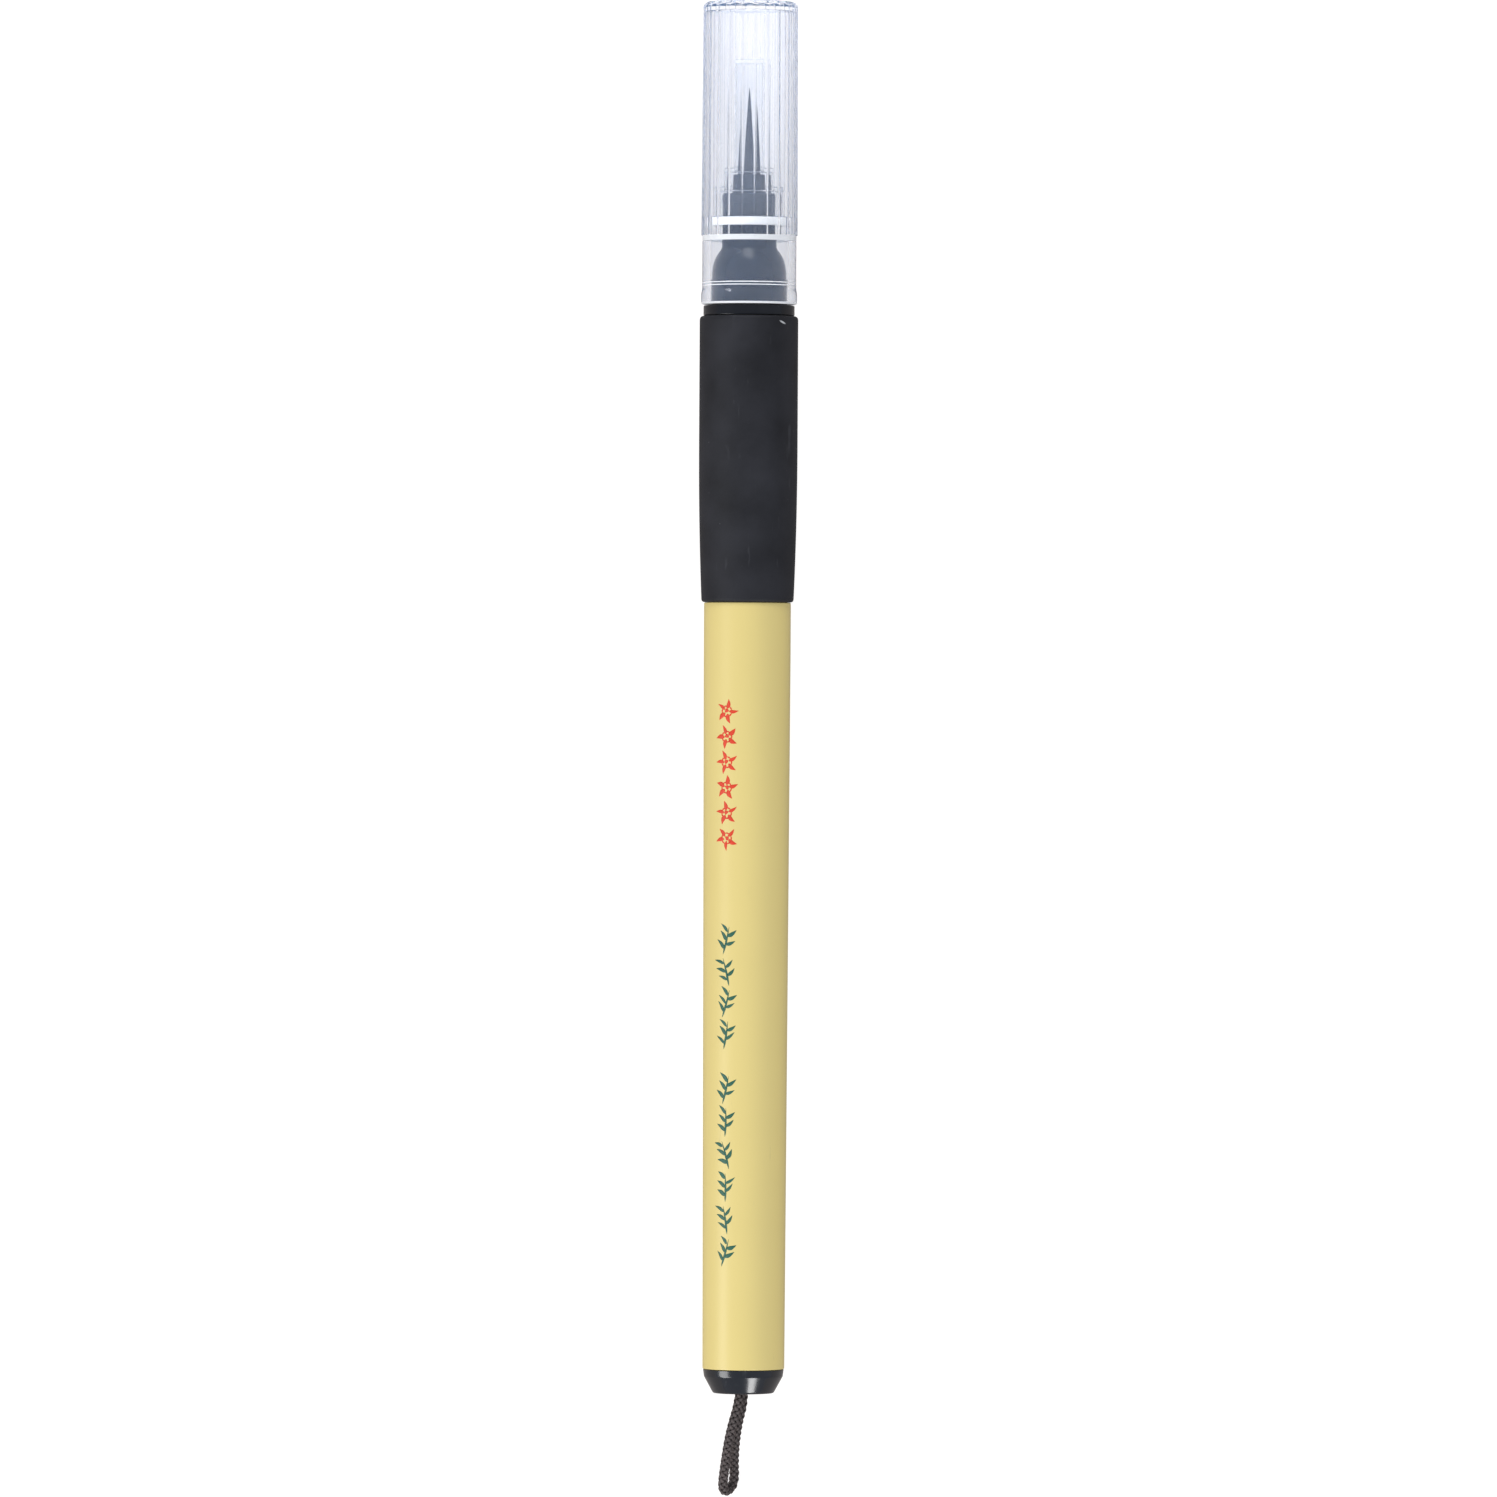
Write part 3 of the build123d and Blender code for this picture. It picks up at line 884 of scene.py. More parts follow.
def sprig(size, draw):
    """A stem with leaves on both sides, as (x, y, turn, width, length) dabs about the middle."""
    leaves = 5
    first_leaf, leaf_step = -0.34, 0.17
    reach = 0.24 * size
    lean = draw.uniform(-0.3, 0.3)
    dabs = [(0.0, 0.0, lean, 0.09 * size, 1.15 * size)]
    for index in range(leaves):
        side = 1 if index % 2 else -1
        up = (first_leaf + leaf_step * index) * size
        turn = lean - side * draw.uniform(0.75, 1.05)
        x = -math.sin(lean) * up - math.sin(turn) * reach
        y = math.cos(lean) * up + math.cos(turn) * reach
        dabs.append((x, y, turn, draw.uniform(0.12, 0.17) * size, draw.uniform(0.42, 0.52) * size))
    return dabs


# Rows of ornaments: first and last station, how many, which ornament
UPPER_ROWS = [(67.0, 82.3, 6, blossom)]
LOWER_ROWS = [(43.3, 54.7, 4, sprig), (17.1, 36.7, 6, sprig)]
ORNAMENT_TURN = math.radians(-27.5)


def make_ornaments(name, rows, colour, seed):
    """One colour of the printed ornaments along the barrel."""
    draw = random.Random(seed)
    places, facts = [], []
    for first, last, count, ornament in rows:
        for index in range(count):
            middle = TAIL_Y + (first + (last - first) * index / (count - 1)) * MM
            for x, y, *dab in ornament(sizes().mark_size, draw):
                places.append((x, middle + y, 0.0))
                facts.append(dab)
    points = new_piece(name, places, [])
    for title, values in zip(("dab_turn", "dab_width", "dab_length"), zip(*facts)):
        points.data.attributes.new(title, "FLOAT", "POINT").data.foreach_set("value", values)
    tail = ends("barrel_tube")[0]
    growth = (outer_radius("barrel_tube") - BARREL_TAIL_RADIUS) / (BARREL_LAND_AT - tail)
    values = {
        "Thickness": 0.02 * MM,
        "Tail Radius": BARREL_TAIL_RADIUS * MM,
        "Radius Growth": growth,
        "Tail Station": TAIL_Y + tail * MM,
        "Turn": ORNAMENT_TURN,
        "Axis Height": AXIS_HEIGHT,
    }
    return grown(name, points, ornament_dabs, ink_material(name + "_ink", colour), values)


# ---- Grip, plug and nose ----


def make_grip():
    """Rubber sleeve, parallel towards the front and drawn in towards the tail."""
    tail, front = ends("grip_sleeve")
    radius = outer_radius("grip_sleeve")
    swell_at = 114.0
    tail_radius = 5.56
    bore = 4.64
    middle = ((tail + swell_at) / 2, radius)
    rim_edge = 0.5
    swell = bow((tail, tail_radius), middle, (swell_at, radius), 16)
    corners = [(tail, bore), (tail, tail_radius, rim_edge)]
    corners += [(*point, 0) for point in swell[1:]]
    corners += [(front, radius, rim_edge), (front, bore)]
    return turned("grip", corners, rubber_material())


def make_plug():
    """Hollow tail plug with its flared cord hole."""
    tail, front = ends("tail_plug")
    rim_front = ends("barrel_tube")[0] - FIT_GAP
    face = 3.65
    chamfer_front, chamfer_radius = 2.05, 4.76
    spigot = 3.88
    lead_in = 0.3
    hollow = 2.9
    hole = 1.36
    wall = 2.1
    flare = bow((tail, 2.35), (0.15, 1.45), (1.15, hole), 8)
    corners = [
        (tail, face, 0.25),
        (chamfer_front, chamfer_radius, 0.12),
        (rim_front, outer_radius("tail_plug"), 0.08),
        (rim_front, spigot),
        (front - lead_in, spigot),
        (front, spigot - lead_in),
        (front, hollow),
        (wall, hollow),
        (wall, hole),
    ]
    corners += [(*point, 0) for point in flare[::-1]]
    return turned("plug", corners, plug_material())


def make_nose():
    """Nose with its stop flange, cap seat, snap bead, dome and sealing neck."""
    tail, front = ends("nose_section")
    flange_tail = ends("grip_sleeve")[1] + FIT_GAP
    flange_front = flange_tail + 1.2
    flange = 5.5
    spigot = 3.72
    seat_front = 134.4
    seat = 4.61
    bead_tail, bead = seat_front - 0.5, seat + 0.05
    neck_tail, neck = 138.3, 3.3
    holder_flange = 135.9
    dome = bow((seat_front, 4.5), (136.55, 4.62), (137.95, 3.5), 14)
    corners = [
        (tail, FEED_BORE),
        (tail, spigot),
        (flange_tail, spigot),
        (flange_tail, flange, 0.1),
        (flange_front, flange, 0.12),
        (flange_front, seat),
        (bead_tail, seat),
        (bead_tail, bead, 0.03),
        (seat_front, bead, 0.03),
    ]
    corners += [(*point, 0) for point in dome]
    corners += [(neck_tail, neck, 0), (front, neck), (front, SEALING_BORE)]
    corners += [(holder_flange, SEALING_BORE), (holder_flange, FEED_BORE)]
    return turned("nose", corners, black_material(), edge=0.05)


def make_collar():
    """Chamfered ring on the ferrule."""
    tail, front = ends("tip_collar")
    radius = outer_radius("tip_collar")
    chamfer = 0.25
    corners = [(tail, SEALING_BORE), (tail, radius), (front - chamfer, radius)]
    corners += [(front, radius - chamfer), (front, SEALING_BORE)]
    return turned("collar", corners, black_material(), edge=0.05)


def make_ferrule():
    """Tapered tube round the foot of the tuft."""
    tail, front = ends("tuft_ferrule")
    radius = outer_radius("tuft_ferrule")
    taper_at = ends("tip_collar")[1]
    root_front = ends("bristle_tuft")[0] + 2.4
    mouth, throat = 2.17, 1.27
    corners = [
        (tail, FERRULE_BORE),
        (tail, radius),
        (taper_at, radius, 0),
        (front, mouth, 0.15),
        (front, throat, 0.05),
        (root_front, throat),
        (root_front, FERRULE_BORE),
    ]
    return turned("ferrule", corners, black_material(), edge=0.05)


# ---- Tuft ----


def tuft_hairs():
    """Geometry Nodes: hairs that start side by side in the ferrule and draw to one point."""
    net = shape_net(
        "tuft_hairs",
        [
            ("Hair Count", WHOLE, 620),
            ("Hair Radius", FLOAT, 0.00005),
            ("Root Radius", FLOAT, 0.00125),
            ("Belly Radius", FLOAT, 0.0008),
            ("Tip Radius", FLOAT, 0.00006),
            ("Root Station", FLOAT, 0.0),
            ("Mouth Station", FLOAT, 0.0),
            ("Tip Station", FLOAT, 0.0),
            ("Axis Height", FLOAT, 0.0),
            ("Seed", WHOLE, 4),
        ],
    )
    golden_angle = math.pi * (3 - math.sqrt(5))
    points_per_hair, sides_per_hair = 22, 5
    shortest, thinning = 0.3, 0.72
    locks, lock_depth = 5.0, 0.06
    swirl_range = 0.7
    index = net.add("GeometryNodeInputIndex").outputs[0]
    share = net.math("SQRT", net.ratio(net.plus(index, 0.5), net.input("Hair Count")))
    own = net.random(index, net.input("Seed"))
    points = net.add("GeometryNodePoints", {"Count": net.input("Hair Count")}).outputs[0]
    for name, value in {"share": share, "own": own, "turn": net.times(index, golden_angle)}.items():
        points = net.store(points, name, value)
    line = net.add("GeometryNodeCurvePrimitiveLine", {"Start": (0, 0, 0), "End": (0, 1, 0)})
    hair = net.add("GeometryNodeResampleCurve", {"Curve": line, "Count": points_per_hair})
    hairs = net.add("GeometryNodeInstanceOnPoints", {"Points": points, "Instance": hair})
    hairs = net.add("GeometryNodeRealizeInstances", {"Geometry": hairs})
    share, own, turn = (net.attribute(name) for name in ("share", "own", "turn"))

    # Each hair's length, and its stations from root to end
    factor = net.add("GeometryNodeSplineParameter").outputs["Factor"]
    shortness = net.times(net.times(share, shortest), net.math("POWER", own, 1.5))
    reach = net.minus(net.input("Tip Station"), net.input("Root Station"))
    length = net.times(reach, net.minus(1.0, shortness))
    station = net.times_plus(factor, length, net.input("Root Station"))
    along = net.spread(station, net.input("Mouth Station"), net.input("Tip Station"))

    # The tuft's outline: a parabola through the root's, the belly's and the tip's radius
    root, belly, tip = (net.input(name) for name in ("Root Radius", "Belly Radius", "Tip Radius"))
    slope = net.minus(net.times(belly, 4.0), net.times_plus(root, 3.0, tip))
    bend = net.times_plus(net.plus(root, tip), 2.0, net.times(belly, -4.0))
    outline = net.times_plus(net.times_plus(bend, along, slope), along, root)

    # Each hair's place in the outline, drawn into locks and slightly turned
    thickness = net.times(net.input("Hair Radius"), net.minus(1.0, net.times(factor, thinning)))
    room = net.math("MAXIMUM", net.minus(outline, thickness), 0.0)
    lock = net.sine(net.times(turn, locks))
    drawn_in = net.times(net.times(lock, lock_depth), net.times(factor, share))
    radius = net.times(net.times(room, share), net.minus(0.97, net.math("ABSOLUTE", drawn_in)))
    swirl = net.times(net.minus(own, 0.5), net.times(along, swirl_range))
    angle = net.plus(turn, swirl)
    side = net.times(radius, net.sine(angle))
    up = net.times_plus(radius, net.cosine(angle), net.input("Axis Height"))
    laid = net.store(net.moved(hairs, net.combine(side, station, up)), "along", station)
    section = net.add("GeometryNodeCurvePrimitiveCircle", {"Resolution": sides_per_hair, "Radius": 1.0})
    sized = net.add("GeometryNodeSetCurveRadius", {"Curve": laid, "Radius": thickness})
    skins = net.add(
        "GeometryNodeCurveToMesh",
        {"Curve": sized, "Profile Curve": section, "Scale": net.attribute("radius"), "Fill Caps": True},
    )
    joined = net.add("GeometryNodeJoinGeometry", {0: net.input("Geometry")})
    net.feed(joined.inputs[0], skins)
    return finish_shape(net, joined)


def make_tuft():
    """Bristles over a slim solid core, drawn to a point."""
    root, tip = ends("bristle_tuft")
    mouth = ends("tuft_ferrule")[1]
    radius = outer_radius("bristle_tuft")
    belly = 0.62 * radius
    core_neck = 0.9 * radius
    tip_radius = 0.06
    hair_root = mouth - 1.0
    core = [(root, 0), (root, radius), (mouth - 0.6, radius), (mouth, core_neck)]
    core += bow((mouth, core_neck), (mouth + 5.4, belly), (tip - 0.6, 0.04), 12)[1:]
    core += [(tip - 0.5, 0)]
    solid = turned("tuft_core", [(*corner, 0) for corner in core], angles=even_angles(24), on_axis=True)
    values = {
        "Hair Count": sizes().hair_count,
        "Hair Radius": sizes().hair_radius,
        "Root Radius": radius * MM,
        "Belly Radius": belly * MM,
        "Tip Radius": tip_radius * MM,
        "Root Station": TAIL_Y + hair_root * MM,
        "Mouth Station": TAIL_Y + mouth * MM,
        "Tip Station": TAIL_Y + tip * MM,
        "Axis Height": AXIS_HEIGHT,
        "Seed": 4,
    }
    hair = strand_material("bristle_hair", colours().hair, 0.38, 0.9, 0.000004, 0.004)
    return grown("tuft", solid, tuft_hairs, hair, values)


# ---- Cap ----


def cap_flutes():
    """Geometry Nodes: hollows a turned shell into flutes with a narrow rib between each two."""
    net = shape_net(
        "cap_flutes",
        [
            ("Flute Count", WHOLE, 22),
            ("Flute Depth", FLOAT, 0.00007),
            ("Flute Radius", FLOAT, 0.009),
            ("First Ridge", FLOAT, 0.0),
            ("Ridge Softness", FLOAT, 0.00002),
            ("Rib Height", FLOAT, 0.0001),
            ("Rib Half Width", FLOAT, 0.00018),
            ("Shoulder Station", FLOAT, 0.0),
            ("Shoulder Radius", FLOAT, 0.0058),
            ("End Station", FLOAT, 0.0),
            ("End Radius", FLOAT, 0.0056),
            ("Axis Height", FLOAT, 0.0),
        ],
    )
    x, y, z = net.split(net.add("GeometryNodeInputPosition"))
    up = net.minus(z, net.input("Axis Height"))
    radius = net.math("SQRT", net.times_plus(x, x, net.times(up, up)))
    step = net.ratio(2 * math.pi, net.input("Flute Count"))
    half_step = net.times(step, 0.5)
    angle = net.minus(net.math("ARCTAN2", x, up), net.input("First Ridge"))
    off_middle = net.minus(net.math("FLOORED_MODULO", angle, step), half_step)
    ridge = net.spread(
        y,
        net.input("Shoulder Station"),
        net.input("End Station"),
        net.input("Shoulder Radius"),
        net.input("End Radius"),
    )

    # The hollow is a long cylinder's side, seen from the pen's axis
    cut_radius = net.input("Flute Radius")
    cut_middle = net.plus(net.minus(ridge, net.input("Flute Depth")), cut_radius)
    aside = net.times(cut_middle, net.sine(off_middle))
    square = net.minus(net.times(cut_radius, cut_radius), net.times(aside, aside))
    hollow = net.minus(net.times(cut_middle, net.cosine(off_middle)), net.math("SQRT", square))
    fluted = net.math("SMOOTH_MIN", radius, hollow, net.input("Ridge Softness"))

    # The rib is a squared cosine across each ridge
    gap = net.minus(half_step, net.math("ABSOLUTE", off_middle))
    gap = net.ratio(net.times(gap, ridge), net.input("Rib Half Width"))
    crest = net.cosine(net.times(net.math("MINIMUM", gap, 1.0), math.pi / 2))
    crest = net.times(crest, crest)
    fluted = net.times_plus(crest, net.input("Rib Height"), fluted)
    pull = net.ratio(fluted, radius)
    new_up = net.times_plus(up, pull, net.input("Axis Height"))
    place = net.combine(net.times(x, pull), y, new_up)

    # Only the outer skin in front of the shoulder takes part
    ahead = net.math("GREATER_THAN", y, net.plus(net.input("Shoulder Station"), 0.000001))
    outside = net.math("GREATER_THAN", radius, net.times(net.input("End Radius"), 0.9))
    chosen = net.times(ahead, outside)
    marked = net.store(net.input("Geometry"), "ridge", net.times(crest, chosen))
    cut = net.moved(marked, place)
    net.feed(cut.inputs["Selection"], chosen)
    return finish_shape(net, cut)


def flute_angles(count, first):
    """Angles round the cap, closer together at each ridge than in the hollows."""
    beside_ridge = [0.012 * index for index in range(11)]
    shares = [*beside_ridge, 0.17, 0.25, 0.37]
    shares += [0.5] + [1 - share for share in shares[:0:-1]]
    step = 2 * math.pi / count
    return [first + (index + share) * step for index in range(count) for share in shares]


CAP_BORE = 4.75
UPPER_BORE = 4.4
SKIRT_RADIUS = 5.68
BEAD_HEIGHT = 0.05


def make_cap():
    """Clear outer shell: plain skirt with a rolled mouth, fluted closed part."""
    mouth, end = ends("cap_shell")
    lip = SKIRT_RADIUS + 0.12
    skirt_front = 139.7
    ledge = ends("cap_inner_cup")[0] + 1.0
    shoulder = SKIRT_RADIUS + 0.05
    closed_end = SKIRT_RADIUS - 0.045
    end_chamfer = 0.45
    inner_end = end - 1.1
    bead = CAP_BORE - BEAD_HEIGHT
    corners = [
        (inner_end, 0),
        (inner_end, UPPER_BORE, 0.3),
        (ledge, UPPER_BORE, 0.05),
        (ledge, CAP_BORE, 0.05),
        (mouth + 2.7, CAP_BORE, 0.02),
        (mouth + 2.58, bead, 0.02),
        (mouth + 2.36, bead, 0.02),
        (mouth + 2.24, CAP_BORE, 0.02),
        (mouth + 0.1, CAP_BORE, 0.05),
        (mouth, CAP_BORE + 0.1, 0.05),
        (mouth, lip, 0.25),
        (mouth + 1.3, lip, 0.2),
        (mouth + 1.8, SKIRT_RADIUS, 0.3),
        (skirt_front - 0.6, SKIRT_RADIUS, 0),
        (skirt_front, SKIRT_RADIUS, 0),
        (skirt_front + 0.06, shoulder, 0),
        (skirt_front + 0.12, shoulder, 0),
        (skirt_front + 0.3, shoulder, 0),
        (end - end_chamfer, closed_end, 0.15),
        (end, closed_end - end_chamfer, 0.2),
        (end, 0),
    ]
    first = sizes().flute_turn
    angles = flute_angles(sizes().flute_count, first)
    shell = turned("cap_blank", corners, angles=angles, on_axis=True)
    values = {
        "Flute Count": sizes().flute_count,
        "Flute Depth": sizes().flute_depth,
        "Flute Radius": sizes().flute_radius,
        "First Ridge": first,
        "Ridge Softness": 0.02 * MM,
        "Rib Height": sizes().rib_height,
        "Rib Half Width": 0.18 * MM,
        "Shoulder Station": TAIL_Y + skirt_front * MM,
        "Shoulder Radius": shoulder * MM,
        "End Station": TAIL_Y + end * MM,
        "End Radius": closed_end * MM,
        "Axis Height": AXIS_HEIGHT,
    }
    cap = grown("cap", shell, cap_flutes, cap_material(), values)
    cap.data.set_sharp_from_angle(angle=CAP_SHARP_ANGLE)

    def is_frosted(station, radius):
        """Whether a face is on the skirt's shoulder, the mouth's lip or the snap bead's flanks."""
        on_shoulder = radius > 5.2 and skirt_front - 0.62 < station < skirt_front + 0.03
        on_lip = station < mouth + 0.2
        on_flank = bead + 0.005 < radius < CAP_BORE - 0.005 and mouth + 2 < station < mouth + 3
        return on_shoulder or on_lip or on_flank

    # The white frosting on the shoulder, the lip and the bead flanks is partly real rubbing, partly a
    # painted highlight for the bright refraction lines there
    frost(cap, frosted_material("cap_highlight_frost", colours().clear, 0.1), is_frosted)
    return cap


def make_inner_cup():
    """Stepped cup that seals the tip."""
    lip, end = ends("cap_inner_cup")
    flange = CAP_BORE - 0.02
    flange_front = lip + 0.95
    foot_front = ends("tip_collar")[1] + 0.3
    step_front = ends("tuft_ferrule")[1] + 0.3
    wall = 0.5
    foot = 3.46
    step = 2.44
    bore = 1.6
    corners = [
        (end - wall, 0),
        (end - wall, bore, 0.15),
        (step_front, bore, 0.2),
        (step_front, step, 0.2),
        (foot_front, step, 0.2),
        (foot_front, foot, 0.2),
        (lip, foot, 0.08),
        (lip, flange, 0.1),
        (flange_front, flange, 0.1),
        (flange_front, foot + wall, 0.15),
        (foot_front + wall, foot + wall, 0.3),
        (foot_front + wall, step + wall, 0.2),
        (step_front + wall, step + wall, 0.3),
        (step_front + wall, bore + wall, 0.2),
        (end, bore + wall, 0.3),
        (end, 0),
    ]
    cup = turned("inner_cup", corners, cup_material(), on_axis=True)
    # The white frosted flange is partly real thick plastic, partly a painted highlight for the bright band
    # that light carried through the flange shows
    highlight_frost = frosted_material("cup_highlight_frost", colours().milky, 0.3)
    frost(cup, highlight_frost, lambda station, radius: station < flange_front + 0.01)
    return cup


# ---- Cord ----


def braid_yarns():
    """Geometry Nodes: yarns that wind both ways round a curve and pass over and under each other."""
    net = shape_net(
        "braid_yarns",
        [
            ("Yarns Each Way", WHOLE, 4),
            ("Pitch", FLOAT, 0.0032),
            ("Braid Radius", FLOAT, 0.000455),
            ("Rise", FLOAT, 0.00007),
            ("Yarn Width", FLOAT, 0.00042),
            ("Yarn Thickness", FLOAT, 0.00019),
            ("Step", FLOAT, 0.00009),
            ("Seed", WHOLE, 2),
        ],
    )
    count = net.input("Yarns Each Way")
    fine = net.add(
        "GeometryNodeResampleCurve",
        {"Curve": net.input("Geometry"), "Length": net.input("Step")},
        mode="LENGTH",
    )
    fine = net.store(fine, "lay_t", net.add("GeometryNodeInputTangent"), "FLOAT_VECTOR")
    fine = net.store(fine, "lay_n", net.add("GeometryNodeInputNormal"), "FLOAT_VECTOR")
    fine = net.store(fine, "along", net.add("GeometryNodeSplineParameter").outputs["Length"])
    yarns = net.add("GeometryNodeDuplicateElements", domain="SPLINE")
    net.feed(yarns.inputs["Geometry"], fine)
    net.feed(yarns.inputs["Amount"], net.times(count, 2.0))
    numbered = net.store(yarns, "yarn", yarns.outputs["Duplicate Index"], domain="CURVE")

    # Half of the yarns wind each way, and each rises where it passes over
    number = net.attribute("yarn")
    forward = net.math("LESS_THAN", number, net.minus(count, 0.5))
    way = net.times_plus(forward, 2.0, -1.0)
    wind = net.times(net.ratio(net.attribute("along"), net.input("Pitch")), 2 * math.pi)
    start = net.times(net.ratio(number, count), 2 * math.pi)
    angle = net.times_plus(wind, way, start)
    over = net.times(net.cosine(net.times(wind, count)), way)
    radius = net.plus(net.input("Braid Radius"), net.times(over, net.input("Rise")))
    tangent, normal = (net.attribute(name, "FLOAT_VECTOR") for name in ("lay_t", "lay_n"))
    side = net.vector("CROSS_PRODUCT", tangent, normal)
    outward = net.vector(
        "ADD",
        net.vector("SCALE", normal, net.cosine(angle)),
        net.vector("SCALE", side, net.sine(angle)),
    )
    offset = net.vector("SCALE", outward, radius)
    wound = net.add("GeometryNodeSetPosition", {"Geometry": numbered, "Offset": offset})
    faced = net.add("GeometryNodeSetCurveNormal", {"Curve": wound}, mode="FREE")
    net.feed(faced.inputs["Normal"], outward)
    named = net.store(faced, "own", net.random(number, net.input("Seed")))
    # The over value also paints shade where a yarn passes under and a highlight where it rides over
    named = net.store(named, "over", over)

    # A flat oval yarn, and a plain heart that closes the gaps between the yarns
    section = net.add("GeometryNodeCurvePrimitiveCircle", {"Resolution": 8, "Radius": 0.5})
    x, y = net.split(net.add("GeometryNodeInputPosition"))[:2]
    thickness = net.times(x, net.input("Yarn Thickness"))
    width = net.times(y, net.input("Yarn Width"))
    section = net.moved(section, net.combine(thickness, width, 0.0))
    section = net.store(section, "round", net.add("GeometryNodeSplineParameter").outputs["Factor"])
    skins = net.add("GeometryNodeCurveToMesh", {"Curve": named, "Profile Curve": section, "Fill Caps": True})
    heart = net.add("GeometryNodeCurvePrimitiveCircle", {"Resolution": 8, "Radius": 1.0})
    heart_radius = net.minus(net.input("Braid Radius"), net.input("Rise"))
    heart_line = net.add(
        "GeometryNodeResampleCurve", {"Curve": net.input("Geometry"), "Length": 0.0004}, mode="LENGTH"
    )
    core = net.add(
        "GeometryNodeCurveToMesh",
        {"Curve": heart_line, "Profile Curve": heart, "Scale": heart_radius, "Fill Caps": True},
    )
    joined = net.add("GeometryNodeJoinGeometry", {0: skins})
    # The heart counts as under everywhere, so its colour is painted shade in the gaps between the yarns
    net.feed(joined.inputs[0], net.store(core, "over", -1.0))
    return finish_shape(net, joined)


def spline_object(name, points, cyclic=False):
    """A NURBS spline with these control points."""
    curve = bpy.data.curves.new(name, "CURVE")
    curve.dimensions = "3D"
    curve.resolution_u = 24
    spline = curve.splines.new("NURBS")
    spline.points.add(len(points) - 1)
    for control, point in zip(spline.points, points):
        control.co = (*point, 1.0)
    spline.order_u = 3
    spline.use_endpoint_u = not cyclic
    spline.use_cyclic_u = cyclic
    line = bpy.data.objects.new(name, curve)
    bpy.context.scene.collection.objects.link(line)
    return line


def read_line(line):
    """The points of a spline's own smooth line."""
    graph = bpy.context.evaluated_depsgraph_get()
    mesh = bpy.data.meshes.new_from_object(line.evaluated_get(graph))
    points = [tuple(vertex.co) for vertex in mesh.vertices]
    bpy.data.meshes.remove(mesh)
    return points


def cord_material():
    """Braided dark brown yarn, with painted shade where one yarn passes under another and a painted
    highlight where it rides over.
    """
    made = bpy.data.materials.get("cord_yarn")
    return made or strand_material(
        "cord_yarn", colours().cord, 0.5, 0.7, 0.00001, 0.0012, under=0.95,
        Sheen_Weight=0.05, Sheen_Roughness=0.4,
    )


def braided(name, line, diameter):
    """A braid of the cord's yarns along a spline."""
    scale = diameter / CORD_DIAMETER
    values = {
        "Yarns Each Way": sizes().yarn_count,
        "Pitch": sizes().braid_pitch * scale,
        "Braid Radius": 0.455 * MM * scale,
        "Rise": 0.07 * MM * scale,
        "Yarn Width": 0.42 * MM * scale,
        "Yarn Thickness": 0.19 * MM * scale,
        "Step": 0.09 * MM,
        "Seed": 2,
    }
    return grown(name, line, braid_yarns, cord_material(), values)


def knot_points():
    """Control points of a simple overhand knot, small enough for the plug's hollow."""
    count = 18
    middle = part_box("cord_knot")[1].y - 1.75 * MM
    reach = 0.56 * MM
    flat, deep = 0.72, 0.95
    points = []
    for index in range(count):
        t = 2 * math.pi * index / count
        x = math.sin(t) + 2 * math.sin(2 * t)
        z = math.cos(t) - 2 * math.cos(2 * t)
        y = -math.sin(3 * t)
        points.append((reach * flat * x, middle + reach * deep * y, AXIS_HEIGHT + reach * flat * z))
    return points


def make_cord():
    """The hanging loop and its knot."""
    line = spline_object("loop_line", CORD_ROUTE)
    path = read_line(line)
    loop = braided("loop_braid", line, CORD_DIAMETER)
    knot = braided("knot_braid", spline_object("knot_line", knot_points(), cyclic=True), KNOT_CORD_DIAMETER)
    fit(knot, "pen", "cord_braid", "cord_knot")
    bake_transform(loop)
    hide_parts("hang_loop")


# ---- Stage ----

VIEW_DISTANCE = 1.47
VIEW_WIDTH = 0.1808
SENSOR_WIDTH = 36.0
CAMERA_TILT = math.radians(0.31)


def make_camera():
    """Camera straight above the pen, square to it."""
    data = bpy.data.cameras.new("camera")
    data.sensor_width = SENSOR_WIDTH
    data.lens = SENSOR_WIDTH * VIEW_DISTANCE / VIEW_WIDTH
    data.clip_end = 20
    camera = bpy.data.objects.new("camera", data)
    camera.location = (0.00022, -0.00616, AXIS_HEIGHT + VIEW_DISTANCE)
    camera.rotation_euler = (0, 0, CAMERA_TILT)
    bpy.context.scene.collection.objects.link(camera)
    bpy.context.scene.camera = camera


def softbox(name, side_deg, end_deg, width, length, radiance, distance=1.1):
    """Area lamp that faces the pen, tilted to one side and towards one end from straight above."""
    data = bpy.data.lights.new(name, "AREA")
    data.shape = "RECTANGLE"
    data.size = width
    data.size_y = length
    data.energy = math.pi * width * length * radiance
    lamp = bpy.data.objects.new(name, data)
    side, end = math.radians(side_deg), math.radians(end_deg)
    direction = Vector((math.sin(side) * math.cos(end), math.sin(end), math.cos(side) * math.cos(end)))
    lamp.location = Vector((0, 0, AXIS_HEIGHT)) + direction * distance
    lamp.rotation_euler = direction.to_track_quat("Z", "Y").to_euler()
    lamp.visible_camera = False
    bpy.context.scene.collection.objects.link(lamp)


